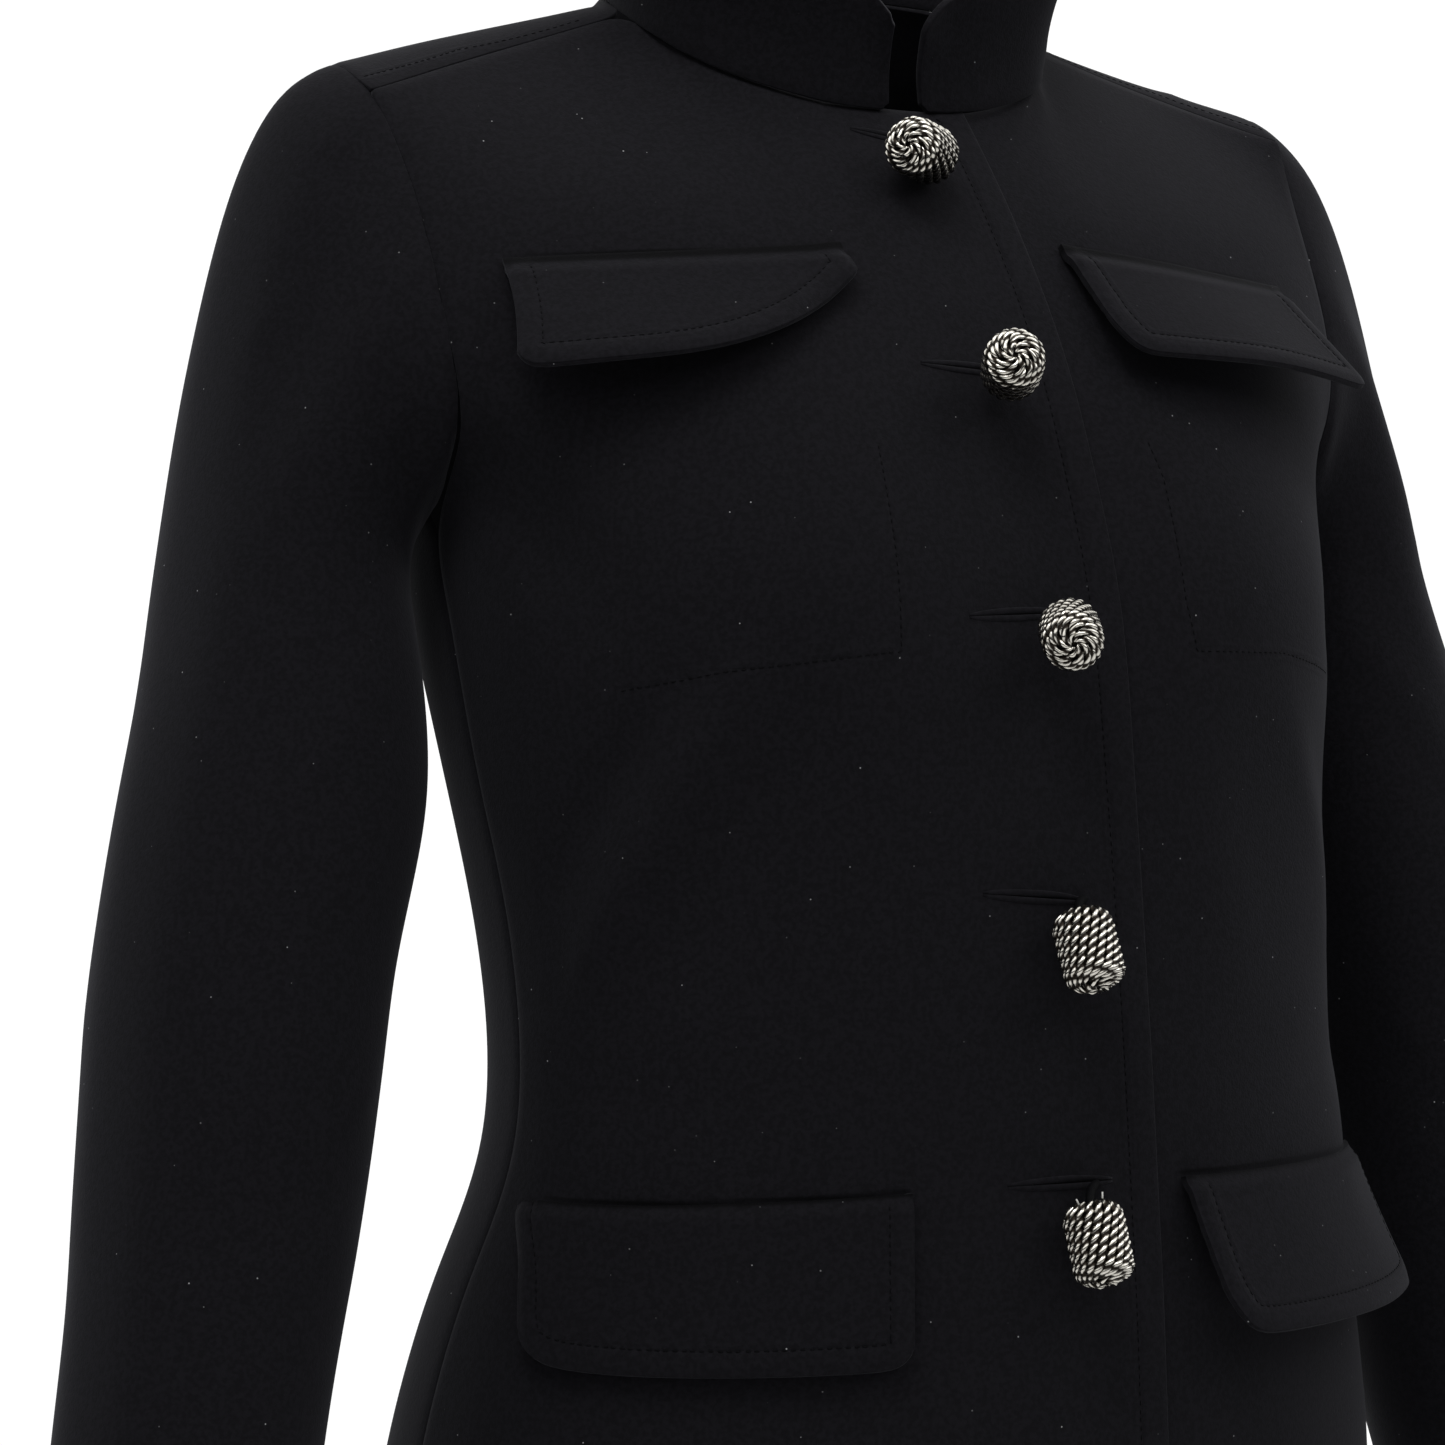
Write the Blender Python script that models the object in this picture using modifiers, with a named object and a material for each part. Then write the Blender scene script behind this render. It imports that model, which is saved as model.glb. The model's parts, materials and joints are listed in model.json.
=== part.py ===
"""A four-pocket jacket: black wool cloth cut and sewn as worn, with five metal rope buttons.

Metres, +Z up. The front faces -Y and the wearer's right is at -X. The origin is in the middle
of the neck opening, level with the middle of the collar at the back.
"""

import math
from collections import namedtuple

import bpy
from mathutils import Vector

# Cloth
WALL = 0.0018
FLAP_WALL = 0.0026
COLLAR_WALL = 0.0028
SEAM_GAP = 0.0007
SHOULDER_GAP = 0.0014
LAYER_GAP = 0.0010

# Front edges and the neck
LAP_TOP, LAP_HEM = 0.0243, 0.0385
LAP_BLEND = 0.030
COLLAR_HEIGHT = 0.040
COLLAR_END = 0.0055
COLLAR_LEAN = 0.010
COLLAR_CORNER = 0.010
COLLAR_GAP = 0.0009
NECK_SHARE = 0.30

# Grid steps
STEPS_TO_NECK = 4
STEPS_TO_SIDE = 9
ROW_STEP = 0.022

# A row runs from the centre of the front or back out to the side seam or the armhole.
# centre_y and centre_z are its point at the middle; edge_x, edge_y and edge_z its outer end.
# square is the power of its curve (2 is an ellipse), turn how far round it goes, in degrees.
Row = namedtuple("Row", "name centre_y centre_z edge_x edge_y edge_z square turn")

FRONT_ROWS = (
    Row("hem", -0.182, -0.640, 0.199, -0.036, -0.636, 2.1, 90),
    Row("hip", -0.179, -0.560, 0.190, -0.043, -0.558, 2.1, 90),
    Row("flap", -0.177, -0.508, 0.179, -0.052, -0.507, 2.1, 90),
    Row("high_hip", -0.174, -0.456, 0.168, -0.070, -0.456, 2.1, 90),
    Row("waist", -0.172, -0.420, 0.164, -0.070, -0.420, 2.1, 90),
    Row("ribs", -0.168, -0.365, 0.165, -0.060, -0.365, 2.2, 90),
    Row("under_bust", -0.162, -0.315, 0.171, -0.048, -0.315, 2.3, 90),
    Row("bust", -0.154, -0.262, 0.1755, -0.036, -0.264, 2.7, 90),
    Row("underarm", -0.142, -0.222, 0.1765, -0.028, -0.232, 2.8, 90),
    Row("armhole_low", -0.128, -0.182, 0.1840, -0.066, -0.200, 2.5, 68),
    Row("armhole_mid", -0.110, -0.148, 0.1890, -0.062, -0.158, 2.2, 58),
    Row("armhole_high", -0.086, -0.112, 0.1905, -0.040, -0.112, 2.0, 50),
)
BACK_ROWS = (
    Row("hem", 0.112, -0.642, 0.199, -0.036, -0.636, 2.1, 90),
    Row("hip", 0.093, -0.560, 0.190, -0.043, -0.558, 2.1, 90),
    Row("flap", 0.073, -0.508, 0.179, -0.052, -0.507, 2.1, 90),
    Row("high_hip", 0.035, -0.456, 0.168, -0.070, -0.456, 2.35, 90),
    Row("waist", 0.034, -0.420, 0.164, -0.070, -0.420, 2.4, 90),
    Row("ribs", 0.048, -0.365, 0.165, -0.060, -0.365, 2.4, 90),
    Row("under_bust", 0.070, -0.315, 0.171, -0.048, -0.315, 2.3, 90),
    Row("bust", 0.090, -0.262, 0.1755, -0.036, -0.264, 2.4, 90),
    Row("underarm", 0.101, -0.220, 0.1765, -0.028, -0.232, 2.4, 90),
    Row("armhole_low", 0.110, -0.178, 0.1850, 0.026, -0.196, 2.4, 66),
    Row("armhole_mid", 0.114, -0.132, 0.1900, 0.046, -0.154, 2.3, 60),
    Row("armhole_high", 0.110, -0.085, 0.1950, 0.044, -0.112, 2.2, 58),
)
UNDERARM_ROW = 8

# The neck seam and the shoulder seam, which lies forward of the shoulder's ridge.
NECK_FRONT = Vector((0.0, -0.0585, -0.0795))
NECK_SIDE = Vector((0.0860, -0.0030, -0.0430))
NECK_BACK = Vector((0.0, 0.0850, -0.0200))
YOKE_BACK = Vector((0.0, 0.0985, -0.0460))
RIDGE_START = Vector((0.0890, 0.0240, -0.0355))
RIDGE_END = Vector((0.2000, 0.0100, -0.0625))
SHOULDER_END = Vector((0.1960, -0.0185, -0.0780))

# The fullness cut into each front over the bust
BUST_X, BUST_Z, BUST_RISE = 0.085, -0.245, 0.011
BUST_WIDE, BUST_HIGH = 0.055, 0.070

# The largest folds, each a soft ridge or, where height is negative, a hollow along a line from
# one point to another, given for the wearer's left. side is -1 for a fold on the wearer's
# right only, 1 for one on the left only and 0 for one on both.
Fold = namedtuple("Fold", "piece side x0 y0 z0 x1 y1 z1 width height")
FOLDS = (
    Fold("front", -1, 0.126, -0.136, -0.302, 0.152, -0.108, -0.372, 0.013, 0.0042),
    Fold("front", 0, 0.176, -0.060, -0.212, 0.155, -0.108, -0.258, 0.018, -0.0040),
    Fold("front", 1, 0.110, -0.146, -0.312, 0.140, -0.120, -0.380, 0.016, 0.0026),
    Fold("front", 1, 0.159, -0.106, -0.462, 0.184, -0.096, -0.645, 0.045, 0.0036),
    Fold("back", 0, 0.070, 0.055, -0.330, 0.115, 0.010, -0.405, 0.016, 0.0032),
    Fold("back", 0, 0.180, 0.020, -0.225, 0.120, 0.080, -0.190, 0.016, -0.0035),
    Fold("sleeve", 0, 0.206, -0.060, -0.172, 0.248, -0.044, -0.232, 0.014, 0.0032),
    Fold("sleeve", 0, 0.196, -0.058, -0.240, 0.236, -0.070, -0.312, 0.014, -0.0030),
    Fold("sleeve", 0, 0.215, -0.062, -0.395, 0.275, -0.080, -0.430, 0.013, 0.0028),
    Fold("sleeve", 0, 0.222, -0.072, -0.450, 0.285, -0.085, -0.472, 0.014, -0.0026),
    Fold("sleeve", 0, 0.235, 0.040, -0.345, 0.295, 0.015, -0.420, 0.018, 0.0028),
)
FOLD_EDGE = 0.12

# A sleeve's sections, from the upper arm to the cuff. The left arm hangs nearer to the body by
# left_in.
Section = namedtuple("Section", "name x y z half_width half_depth left_in")
SLEEVE_SECTIONS = (
    Section("upper_arm", 0.2225, 0.0035, -0.262, 0.0440, 0.0610, 0.0),
    Section("mid_arm", 0.2285, -0.0105, -0.318, 0.0535, 0.0600, 0.0),
    Section("above_elbow", 0.2455, -0.0200, -0.380, 0.0520, 0.0580, 0.0005),
    Section("elbow", 0.2575, -0.0290, -0.450, 0.0512, 0.0570, 0.003),
    Section("forearm", 0.2715, -0.0400, -0.516, 0.0468, 0.0530, 0.008),
    Section("low_arm", 0.2800, -0.0470, -0.553, 0.0462, 0.0505, 0.0115),
    Section("cuff", 0.2960, -0.0610, -0.625, 0.0430, 0.0475, 0.0170),
)
CAP_STEPS = 6
CAP_LEAVE, CAP_ARRIVE = 0.57, 0.85
SLEEVE_STEP = 0.032

# A flap hangs from its seam: near is the end by the front edge, far the end by the side.
# stand is how far each end of its free edge swings out, spread how far it reaches past the seam.
# Its near lower corner is cut away over cut_wide and cut_high.
Flap = namedtuple(
    "Flap",
    "name side near_x near_z far_x far_z drop"
    " near_stand far_stand near_spread far_spread cut_wide cut_high",
)
FLAPS = (
    Flap("chest_flap_right", -1, .0524, -.1338, .1692, -.1407, .0522,
         .0045, .0230, .0015, -.0022, .0850, .0365),
    Flap("chest_flap_left", 1, .0416, -.1302, .1507, -.1408, .0574,
         .0103, .0256, -.0042, -.0005, .0060, .0180),
    Flap("hip_flap_right", -1, .0632, -.4614, .1710, -.4660, .0593,
         .0020, .0035, -.0020, .0010, .0060, .0067),
    Flap("hip_flap_left", 1, .0461, -.4610, .1623, -.4620, .0589,
         .0209, .0181, -.0056, .0002, .0081, .0152),
)
FAR_CORNER = 0.0065
FLAP_STEPS_ACROSS = 12
FLAP_STEPS_DOWN = 5
FLAP_LIE = 0.0008

# A button hangs on its shank, sewn on at x and z. Its back end lies reach out from there,
# aside and hang below, and aim is the way its domed end points.
Button = namedtuple("Button", "name x z reach aside hang aim")
BUTTONS = (
    Button("button_1", 0.003, -0.0970, 0.0150, -0.005, 0.008, (-0.70, -0.65, -0.20)),
    Button("button_2", 0.005, -0.1780, 0.0130, -0.008, 0.004, (-0.486, -0.874, 0.0)),
    Button("button_3", 0.006, -0.2640, 0.0120, -0.005, 0.005, (-0.45, -0.82, -0.30)),
    Button("button_4", 0.007, -0.3630, 0.0135, -0.009, 0.005, (-0.05, -0.28, -0.95)),
    Button("button_5", 0.008, -0.4615, 0.0135, -0.010, 0.005, (-0.02, -0.22, -0.97)),
)
BUTTON_RADIUS = 0.0108
BUTTON_LENGTH = 0.0290
BUTTON_DOME = 0.0080
BUTTON_EDGE = 0.0025
SHANK_RADIUS = 0.0022
SHANK_GAP = 0.0018
SHANK_BEND = 0.0055
STRANDS = 13
STRAND_RISE = 0.0007
STRAND_TURN = 1.9

BLACK_WOOL = ((0.012, 0.012, 0.014, 1.0), 0.85, 0.0)
DARK_SILVER = ((0.42, 0.41, 0.40, 1.0), 0.30, 1.0)


def clear_scene():
    for thing in list(bpy.context.scene.objects):
        bpy.data.objects.remove(thing, do_unlink=True)


def material(name, finish):
    colour, roughness, metallic = finish
    made = bpy.data.materials.new(name)
    made.use_nodes = True
    shader = made.node_tree.nodes["Principled BSDF"]
    shader.inputs["Base Color"].default_value = colour
    shader.inputs["Roughness"].default_value = roughness
    shader.inputs["Metallic"].default_value = metallic
    made.diffuse_color = colour
    return made


def smooth(share):
    share = min(max(share, 0.0), 1.0)
    return share * share * (3.0 - 2.0 * share)


def cubic(points, spans, at):
    """The point at a distance along a smooth curve through points, spans being their distances."""
    last = len(points) - 1
    i = 0
    while i < last - 1 and at > spans[i + 1]:
        i += 1
    length = spans[i + 1] - spans[i]
    t = (at - spans[i]) / length

    def slope(k):
        low, high = max(k - 1, 0), min(k + 1, last)
        return (points[high] - points[low]) / (spans[high] - spans[low])

    return (
        points[i] * (2 * t**3 - 3 * t**2 + 1)
        + slope(i) * length * (t**3 - 2 * t**2 + t)
        + points[i + 1] * (3 * t**2 - 2 * t**3)
        + slope(i + 1) * length * (t**3 - t**2)
    )


def row_point(row, u):
    """A point of a body row; u is 0 at the centre and 1 at the row's outer end."""
    turn = math.radians(row.turn)
    power = 2.0 / row.square
    angle = min(abs(u) * turn, math.pi / 2.0)
    x = row.edge_x * (math.sin(angle) / math.sin(turn)) ** power
    depth = 1.0 - max(math.cos(angle), 0.0) ** power
    share = depth / (1.0 - max(math.cos(turn), 0.0) ** power)
    y = row.centre_y + (row.edge_y - row.centre_y) * share
    z = row.centre_z + (row.edge_z - row.centre_z) * smooth(abs(u))
    return Vector((math.copysign(x, u), y, z))


def bust_fullness(point):
    across = (abs(point.x) - BUST_X) / BUST_WIDE
    up = (point.z - BUST_Z) / BUST_HIGH
    return Vector((0.0, -BUST_RISE * math.exp(-across * across - up * up), 0.0))


def arc_between(start, end, start_way, end_way, t):
    """A smooth arc that leaves start along start_way and reaches end along end_way."""
    return (
        start * (2 * t**3 - 3 * t**2 + 1)
        + start_way * (t**3 - 2 * t**2 + t)
        + end * (3 * t**2 - 2 * t**3)
        + end_way * (t**3 - t**2)
    )


def mirrored(point, u):
    return Vector((math.copysign(point.x, u), point.y, point.z))


def shoulder_line(start, end, bow, u):
    t = (abs(u) - NECK_SHARE) / (1.0 - NECK_SHARE)
    return mirrored(start.lerp(end, t) + bow * math.sin(math.pi * t), u)


def front_top(u):
    """The front's upper edge: the neck seam out to NECK_SHARE, then the shoulder seam."""
    if abs(u) >= NECK_SHARE:
        return shoulder_line(NECK_SIDE, SHOULDER_END, Vector((0.0, 0.008, 0.0)), u)
    out, up = Vector((0.150, 0.0, 0.0)), Vector((0.010, 0.130, 0.075))
    return mirrored(arc_between(NECK_FRONT, NECK_SIDE, out, up, abs(u) / NECK_SHARE), u)


def back_ridge(u):
    """A line below the back of the neck, then over the top of the shoulders."""
    if abs(u) >= NECK_SHARE:
        return shoulder_line(RIDGE_START, RIDGE_END, Vector((0.0, 0.008, 0.001)), u)
    out, forward = Vector((0.110, 0.0, 0.0)), Vector((0.012, -0.090, 0.004))
    return mirrored(arc_between(YOKE_BACK, RIDGE_START, out, forward, abs(u) / NECK_SHARE), u)


def back_top(u):
    """The back's upper edge: round the neck to the front, then along the shoulder seam."""
    if abs(u) >= NECK_SHARE:
        return front_top(u)
    out, down = Vector((0.130, 0.0, 0.0)), Vector((-0.010, -0.120, -0.060))
    return mirrored(arc_between(NECK_BACK, NECK_SIDE, out, down, abs(u) / NECK_SHARE), u)


class Panel:
    """A smooth cloth surface through rows; u runs across it and v from the hem to the top."""

    def __init__(self, rows, top, fullness):
        self.rows = rows
        self.top = top
        self.fullness = fullness
        self.spans = [0.0]
        line = [self.row_at(k, 0.5) for k in range(len(rows) + len(top))]
        for one, other in zip(line, line[1:]):
            self.spans.append(self.spans[-1] + (other - one).length)

    def row_at(self, index, u):
        if index >= len(self.rows):
            return self.top[index - len(self.rows)](u)
        return row_point(self.rows[index], u)

    def at(self, u, v):
        line = [self.row_at(k, u) for k in range(len(self.spans))]
        point = cubic(line, self.spans, v)
        if self.fullness:
            point += bust_fullness(point) * smooth((self.spans[-1] - v) / 0.08)
        return point

    def normal(self, u, v):
        step = 0.002
        across = self.at(u + step, v) - self.at(u - step, v)
        up = self.at(u, min(v + step, self.spans[-1])) - self.at(u, v - step)
        return across.cross(up).normalized()

    def place_of(self, x, z, side=1):
        """The u and v where the surface has this x and z."""
        u, v = 0.5 * side, self.spans[5]
        step = 0.001
        for _ in range(30):
            here = self.at(u, v)
            du = (self.at(u + step, v) - here) / step
            dv = (self.at(u, v + step) - here) / step
            miss_x, miss_z = x * side - here.x, z - here.z
            whole = du.x * dv.z - dv.x * du.z
            u += (miss_x * dv.z - dv.x * miss_z) / whole
            v += (du.x * miss_z - miss_x * du.z) / whole
            u = min(max(u, -0.98), 0.98)
            v = min(max(v, 0.001), self.spans[-1] - 0.002)
        return u, v


FRONT = Panel(FRONT_ROWS, (front_top,), fullness=True)
BACK = Panel(BACK_ROWS, (back_ridge, back_top), fullness=False)


def levels(panel, first, last):
    """Values of v from one row to another, about ROW_STEP apart at the panel's outer edge."""
    values = [panel.spans[first]]
    for k in range(first, last):
        low, high = panel.spans[k], panel.spans[k + 1]
        steps = max(1, round((panel.row_at(k + 1, 1.0) - panel.row_at(k, 1.0)).length / ROW_STEP))
        values += [low + (high - low) * (i + 1) / steps for i in range(steps)]
    return values


def across_values():
    """Values of u from the centre to the side, one of them at the side of the neck."""
    near = [NECK_SHARE * k / STEPS_TO_NECK for k in range(STEPS_TO_NECK)]
    far = [NECK_SHARE + (1.0 - NECK_SHARE) * k / STEPS_TO_SIDE for k in range(STEPS_TO_SIDE + 1)]
    return near + far


def mesh_object(name, points, faces, finish, collection):
    mesh = bpy.data.meshes.new(name)
    mesh.from_pydata([tuple(p) for p in points], [], faces)
    made = bpy.data.objects.new(name, mesh)
    collection.objects.link(made)
    mesh.materials.append(material(name, finish))
    mesh.shade_smooth()
    return made


def grid_faces(rows, columns, closed):
    faces = []
    for r in range(rows - 1):
        for c in range(columns if closed else columns - 1):
            right = (c + 1) % columns
            low, high = r * columns, (r + 1) * columns
            faces.append((low + c, low + right, high + right, high + c))
    return faces


def cloth(name, grid, thickness, collection, closed=False, flipped=False):
    """A wall of cloth whose outer face is the grid."""
    faces = grid_faces(len(grid), len(grid[0]), closed)
    if flipped:
        faces = [tuple(reversed(face)) for face in faces]
    points = [point for row in grid for point in row]
    made = mesh_object(name, points, faces, BLACK_WOOL, collection)
    solid = made.modifiers.new("wall", "SOLIDIFY")
    solid.thickness = thickness
    solid.offset = -1.0
    return made


def pull_in(grid, first_row=0.0, last_row=0.0, first_column=0.0, last_column=0.0):
    """Draws the named edges of a grid back from their seams, each by half its gap."""
    rows, columns = range(len(grid)), range(len(grid[0]))
    moves = [((r, 0), (r, 1), first_column) for r in rows]
    moves += [((r, -1), (r, -2), last_column) for r in rows]
    moves += [((0, c), (1, c), first_row) for c in columns]
    moves += [((-1, c), (-2, c), last_row) for c in columns]
    drawn = [[point.copy() for point in row] for row in grid]
    for (r, c), (inner_r, inner_c), gap in moves:
        way = grid[inner_r][inner_c] - grid[r][c]
        drawn[r][c] += way.normalized() * gap / 2.0
    return drawn


def fold_push(piece, side, point):
    """How far the folds of a piece move this point, given on the wearer's left, outward."""
    push = 0.0
    for fold in FOLDS:
        if fold.piece != piece or fold.side == -side:
            continue
        start = Vector((fold.x0, fold.y0, fold.z0))
        line = Vector((fold.x1, fold.y1, fold.z1)) - start
        share = min(max((point - start).dot(line) / line.length_squared, 0.0), 1.0)
        away = (point - start - line * share).length / fold.width
        push += fold.height * math.exp(-away * away)
    return push


def lap_at(z):
    """How far past the centre the front reaches, more towards the hem."""
    share = (z - NECK_FRONT.z) / (FRONT_ROWS[0].centre_z - NECK_FRONT.z)
    return LAP_TOP + (LAP_HEM - LAP_TOP) * share


def lap_value(v):
    """The u at which the front reaches its own edge past the centre."""
    low, high = 0.0, 0.5
    for _ in range(30):
        middle = (low + high) / 2.0
        point = FRONT.at(middle, v)
        low, high = (middle, high) if point.x < lap_at(point.z) else (low, middle)
    return low


def front_push(point, u, side):
    """How far the folds move a point of the front, less and less towards the side seam."""
    return fold_push("front", side, point) * smooth((1.0 - u) / FOLD_EDGE)


def front_point(u, v, side):
    """A point of the outer face; the left front dips under the right one where they lap."""
    point = FRONT.at(u, v)
    point += FRONT.normal(u, v) * front_push(point, u, side)
    if side > 0:
        cover = 1.0 - smooth((point.x - lap_at(point.z) - 0.004) / LAP_BLEND)
        point -= FRONT.normal(u, v) * (WALL + LAYER_GAP) * cover
    return Vector((side * point.x, point.y, point.z))


def front_grid(side):
    """side is -1 for the wearer's right front, whose edge lies over the left one."""
    grid = []
    for v in levels(FRONT, 0, len(FRONT_ROWS)):
        lap = lap_value(v)
        values = [-lap, -lap / 2.0] + across_values()
        grid.append([front_point(u, v, side) for u in values])
    return grid


def back_point(u, v):
    point = BACK.at(u, v)
    push = fold_push("back", math.copysign(1, u), Vector((abs(point.x), point.y, point.z)))
    return point - BACK.normal(u, v) * push * smooth((1.0 - abs(u)) / FOLD_EDGE)


def back_grid():
    half = across_values()
    values = [-u for u in reversed(half[1:])] + half
    grid = [[back_point(u, v) for u in values] for v in levels(BACK, 0, len(BACK_ROWS) + 1)]
    for row, v in zip(grid, levels(FRONT, 0, UNDERARM_ROW)):
        seam = FRONT.at(1.0, v)
        row[0], row[-1] = Vector((-seam.x, seam.y, seam.z)), seam
    return grid


def build_body(collection):
    for name, side in (("front_right", -1), ("front_left", 1)):
        grid = pull_in(front_grid(side), last_row=SHOULDER_GAP, last_column=SEAM_GAP)
        cloth(name, grid, WALL, collection, flipped=side < 0)
    grid = pull_in(
        back_grid(), last_row=SHOULDER_GAP, first_column=SEAM_GAP, last_column=SEAM_GAP
    )
    cloth("back", grid, WALL, collection, flipped=True)


def collar_edge():
    """The neck seam from the wearer's right end of the collar round to the left end."""
    low, high = 0.0, NECK_SHARE
    for _ in range(30):
        middle = (low + high) / 2.0
        low, high = (middle, high) if front_top(middle).x < COLLAR_END else (low, middle)
    values = [u for u in across_values() if u <= NECK_SHARE]
    end_steps = [low + (values[1] - low) * k / 3.0 for k in range(3)]
    front_values = end_steps + values[1:]
    back_values = list(reversed(values[:-1]))
    half = [front_top(u) for u in front_values] + [back_top(u) for u in back_values]
    right = [Vector((-p.x, p.y, p.z)) for p in half]
    return right + list(reversed(half[:-1]))


def build_collar(collection):
    edge = collar_edge()
    lengths = [0.0]
    for one, other in zip(edge, edge[1:]):
        lengths.append(lengths[-1] + (other - one).length)
    heights = []
    for length in lengths:
        from_end = min(length, lengths[-1] - length)
        inset = max(COLLAR_CORNER - from_end, 0.0)
        heights.append(COLLAR_HEIGHT - COLLAR_CORNER + math.sqrt(COLLAR_CORNER**2 - inset**2))
    grid = []
    for share in (0.0, 0.3, 0.6, 0.85, 1.0):
        row = []
        for k, height in enumerate(heights):
            along = edge[min(k + 1, len(edge) - 1)] - edge[max(k - 1, 0)]
            inward = Vector((-along.y, along.x, 0.0)).normalized()
            up = Vector((0.0, 0.0, COLLAR_GAP + share * height))
            row.append(edge[k] + up + inward * COLLAR_LEAN * share * share)
        grid.append(row)
    cloth("collar", grid, COLLAR_WALL, collection)


def armhole():
    """The armhole of the left side, from the underarm up the front and down the back."""
    up = [FRONT.at(1.0, v) for v in levels(FRONT, UNDERARM_ROW, len(FRONT_ROWS))]
    down = [BACK.at(1.0, v) for v in levels(BACK, UNDERARM_ROW, len(BACK_ROWS) + 1)]
    return up + list(reversed(down[1:-1]))


def ring_angles(ring):
    """Each point's angle round the arm, by its share of the armhole's length; 0 is inside."""
    lengths = [0.0]
    for k, point in enumerate(ring):
        lengths.append(lengths[-1] + (ring[(k + 1) % len(ring)] - point).length)
    return [2.0 * math.pi * length / lengths[-1] for length in lengths[:-1]]


def sleeve_ring(centre, along, half_width, half_depth, angles):
    """A ring round the arm, square to the way that it runs."""
    out = along.cross(Vector((0.0, 1.0, 0.0))).normalized()
    back = out.cross(along).normalized()
    if out.x < 0:
        out = -out
    if back.y < 0:
        back = -back
    ring = []
    for angle in angles:
        ring.append(centre - out * half_width * math.cos(angle) - back * half_depth * math.sin(angle))
    return ring


def sleeve_grid(side):
    ring = armhole()
    angles = ring_angles(ring)
    centres = [Vector((s.x - max(side, 0) * s.left_in, s.y, s.z)) for s in SLEEVE_SECTIONS]
    halves = [Vector((s.half_width, s.half_depth)) for s in SLEEVE_SECTIONS]
    spans = [0.0]
    for one, other in zip(centres, centres[1:]):
        spans.append(spans[-1] + (other - one).length)
    steps = round(spans[-1] / SLEEVE_STEP)
    tube = []
    for k in range(steps + 1):
        at = spans[-1] * k / steps
        ahead = cubic(centres, spans, min(at + 0.005, spans[-1]))
        along = (ahead - cubic(centres, spans, max(at - 0.005, 0.0))).normalized()
        half = cubic(halves, spans, at)
        tube.append(sleeve_ring(cubic(centres, spans, at), along, half.x, half.y, angles))
    cap = []
    for k in range(CAP_STEPS):
        t = k / CAP_STEPS
        row = []
        for start, end, after, angle in zip(ring, tube[0], tube[1], angles):
            height = (1.0 - math.cos(angle)) / 2.0
            leave = Vector((0.85, 0.16 - 0.30 * math.sin(angle), 0.95 * height - 0.80)).normalized()
            reach = (end - start).length
            arrive = (after - end).normalized()
            point = arc_between(start, end, leave * reach * CAP_LEAVE, arrive * reach * CAP_ARRIVE, t)
            row.append(point)
        cap.append(row)
    grid = cap + tube
    for k, row in enumerate(grid):
        middle = sum(row, Vector()) / len(row)
        for c, point in enumerate(row):
            push = fold_push("sleeve", side, point) * smooth(k / CAP_STEPS)
            row[c] = point + (point - middle).normalized() * push
    return grid


def build_sleeves(collection):
    for name, side in (("sleeve_right", -1), ("sleeve_left", 1)):
        grid = sleeve_grid(side)
        placed = [[Vector((side * p.x, p.y, p.z)) for p in row] for row in grid]
        placed = pull_in(placed, first_row=2.0 * SEAM_GAP)
        cloth(name, placed, WALL, collection, closed=True, flipped=side > 0)


def flap_length(flap, from_near, from_far):
    """How deep the flap is at this distance from its near and far ends."""
    near = max(1.0 - from_near / flap.cut_wide, 0.0)
    far = max(1.0 - from_far / FAR_CORNER, 0.0)
    cut = flap.cut_high * near * near
    return flap.drop - cut - FAR_CORNER * (1.0 - math.sqrt(1.0 - far * far))


def flap_grid(flap):
    """The outer face of a flap: points of the front, moved out as the flap swings."""
    width = flap.far_x - flap.near_x
    ends = FAR_CORNER / 3.0
    offsets = [0.0, ends, 3.0 * ends]
    steps = FLAP_STEPS_ACROSS - 4
    offsets += [3.0 * ends + (width - 6.0 * ends) * k / steps for k in range(1, steps)]
    offsets += [width - 3.0 * ends, width - ends, width]
    grid = []
    for r in range(FLAP_STEPS_DOWN + 1):
        row = []
        for offset in offsets:
            s = offset / width
            stand = flap.near_stand + (flap.far_stand - flap.near_stand) * s
            share = r / FLAP_STEPS_DOWN * flap_length(flap, offset, width - offset) / flap.drop
            z = flap.near_z + (flap.far_z - flap.near_z) * s
            u, v = FRONT.place_of(flap.near_x + offset, z)
            fall = (FRONT.at(u, v - 0.02) - FRONT.at(u, v)).normalized()
            down = math.sqrt(flap.drop**2 - stand**2) * share
            spread = flap.far_spread * s - flap.near_spread * (1.0 - s)
            u, v = FRONT.place_of(flap.near_x + offset + spread * share, z + fall.z * down)
            point = FRONT.at(u, v)
            out = FLAP_LIE + FLAP_WALL + stand * share**1.15 + front_push(point, u, flap.side)
            point += FRONT.normal(u, v) * out
            row.append(Vector((flap.side * point.x, point.y, point.z)))
        grid.append(row)
    return grid


def build_flaps(collection):
    for flap in FLAPS:
        cloth(flap.name, flap_grid(flap), FLAP_WALL, collection, flipped=flap.side > 0)


def button_profile():
    """Distances along the button and radii there, from its back end to the top of its dome."""
    profile = [(0.0, 0.45 * BUTTON_RADIUS), (0.0006, BUTTON_RADIUS - BUTTON_EDGE)]
    profile.append((BUTTON_EDGE, BUTTON_RADIUS))
    straight = BUTTON_LENGTH - BUTTON_DOME - BUTTON_EDGE
    profile += [(BUTTON_EDGE + straight * k / 5.0, BUTTON_RADIUS) for k in range(1, 6)]
    for turn in (20, 40, 58, 74):
        angle = math.radians(turn)
        along = BUTTON_LENGTH - BUTTON_DOME + BUTTON_DOME * math.sin(angle)
        profile.append((along, BUTTON_RADIUS * math.cos(angle)))
    return profile


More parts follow.
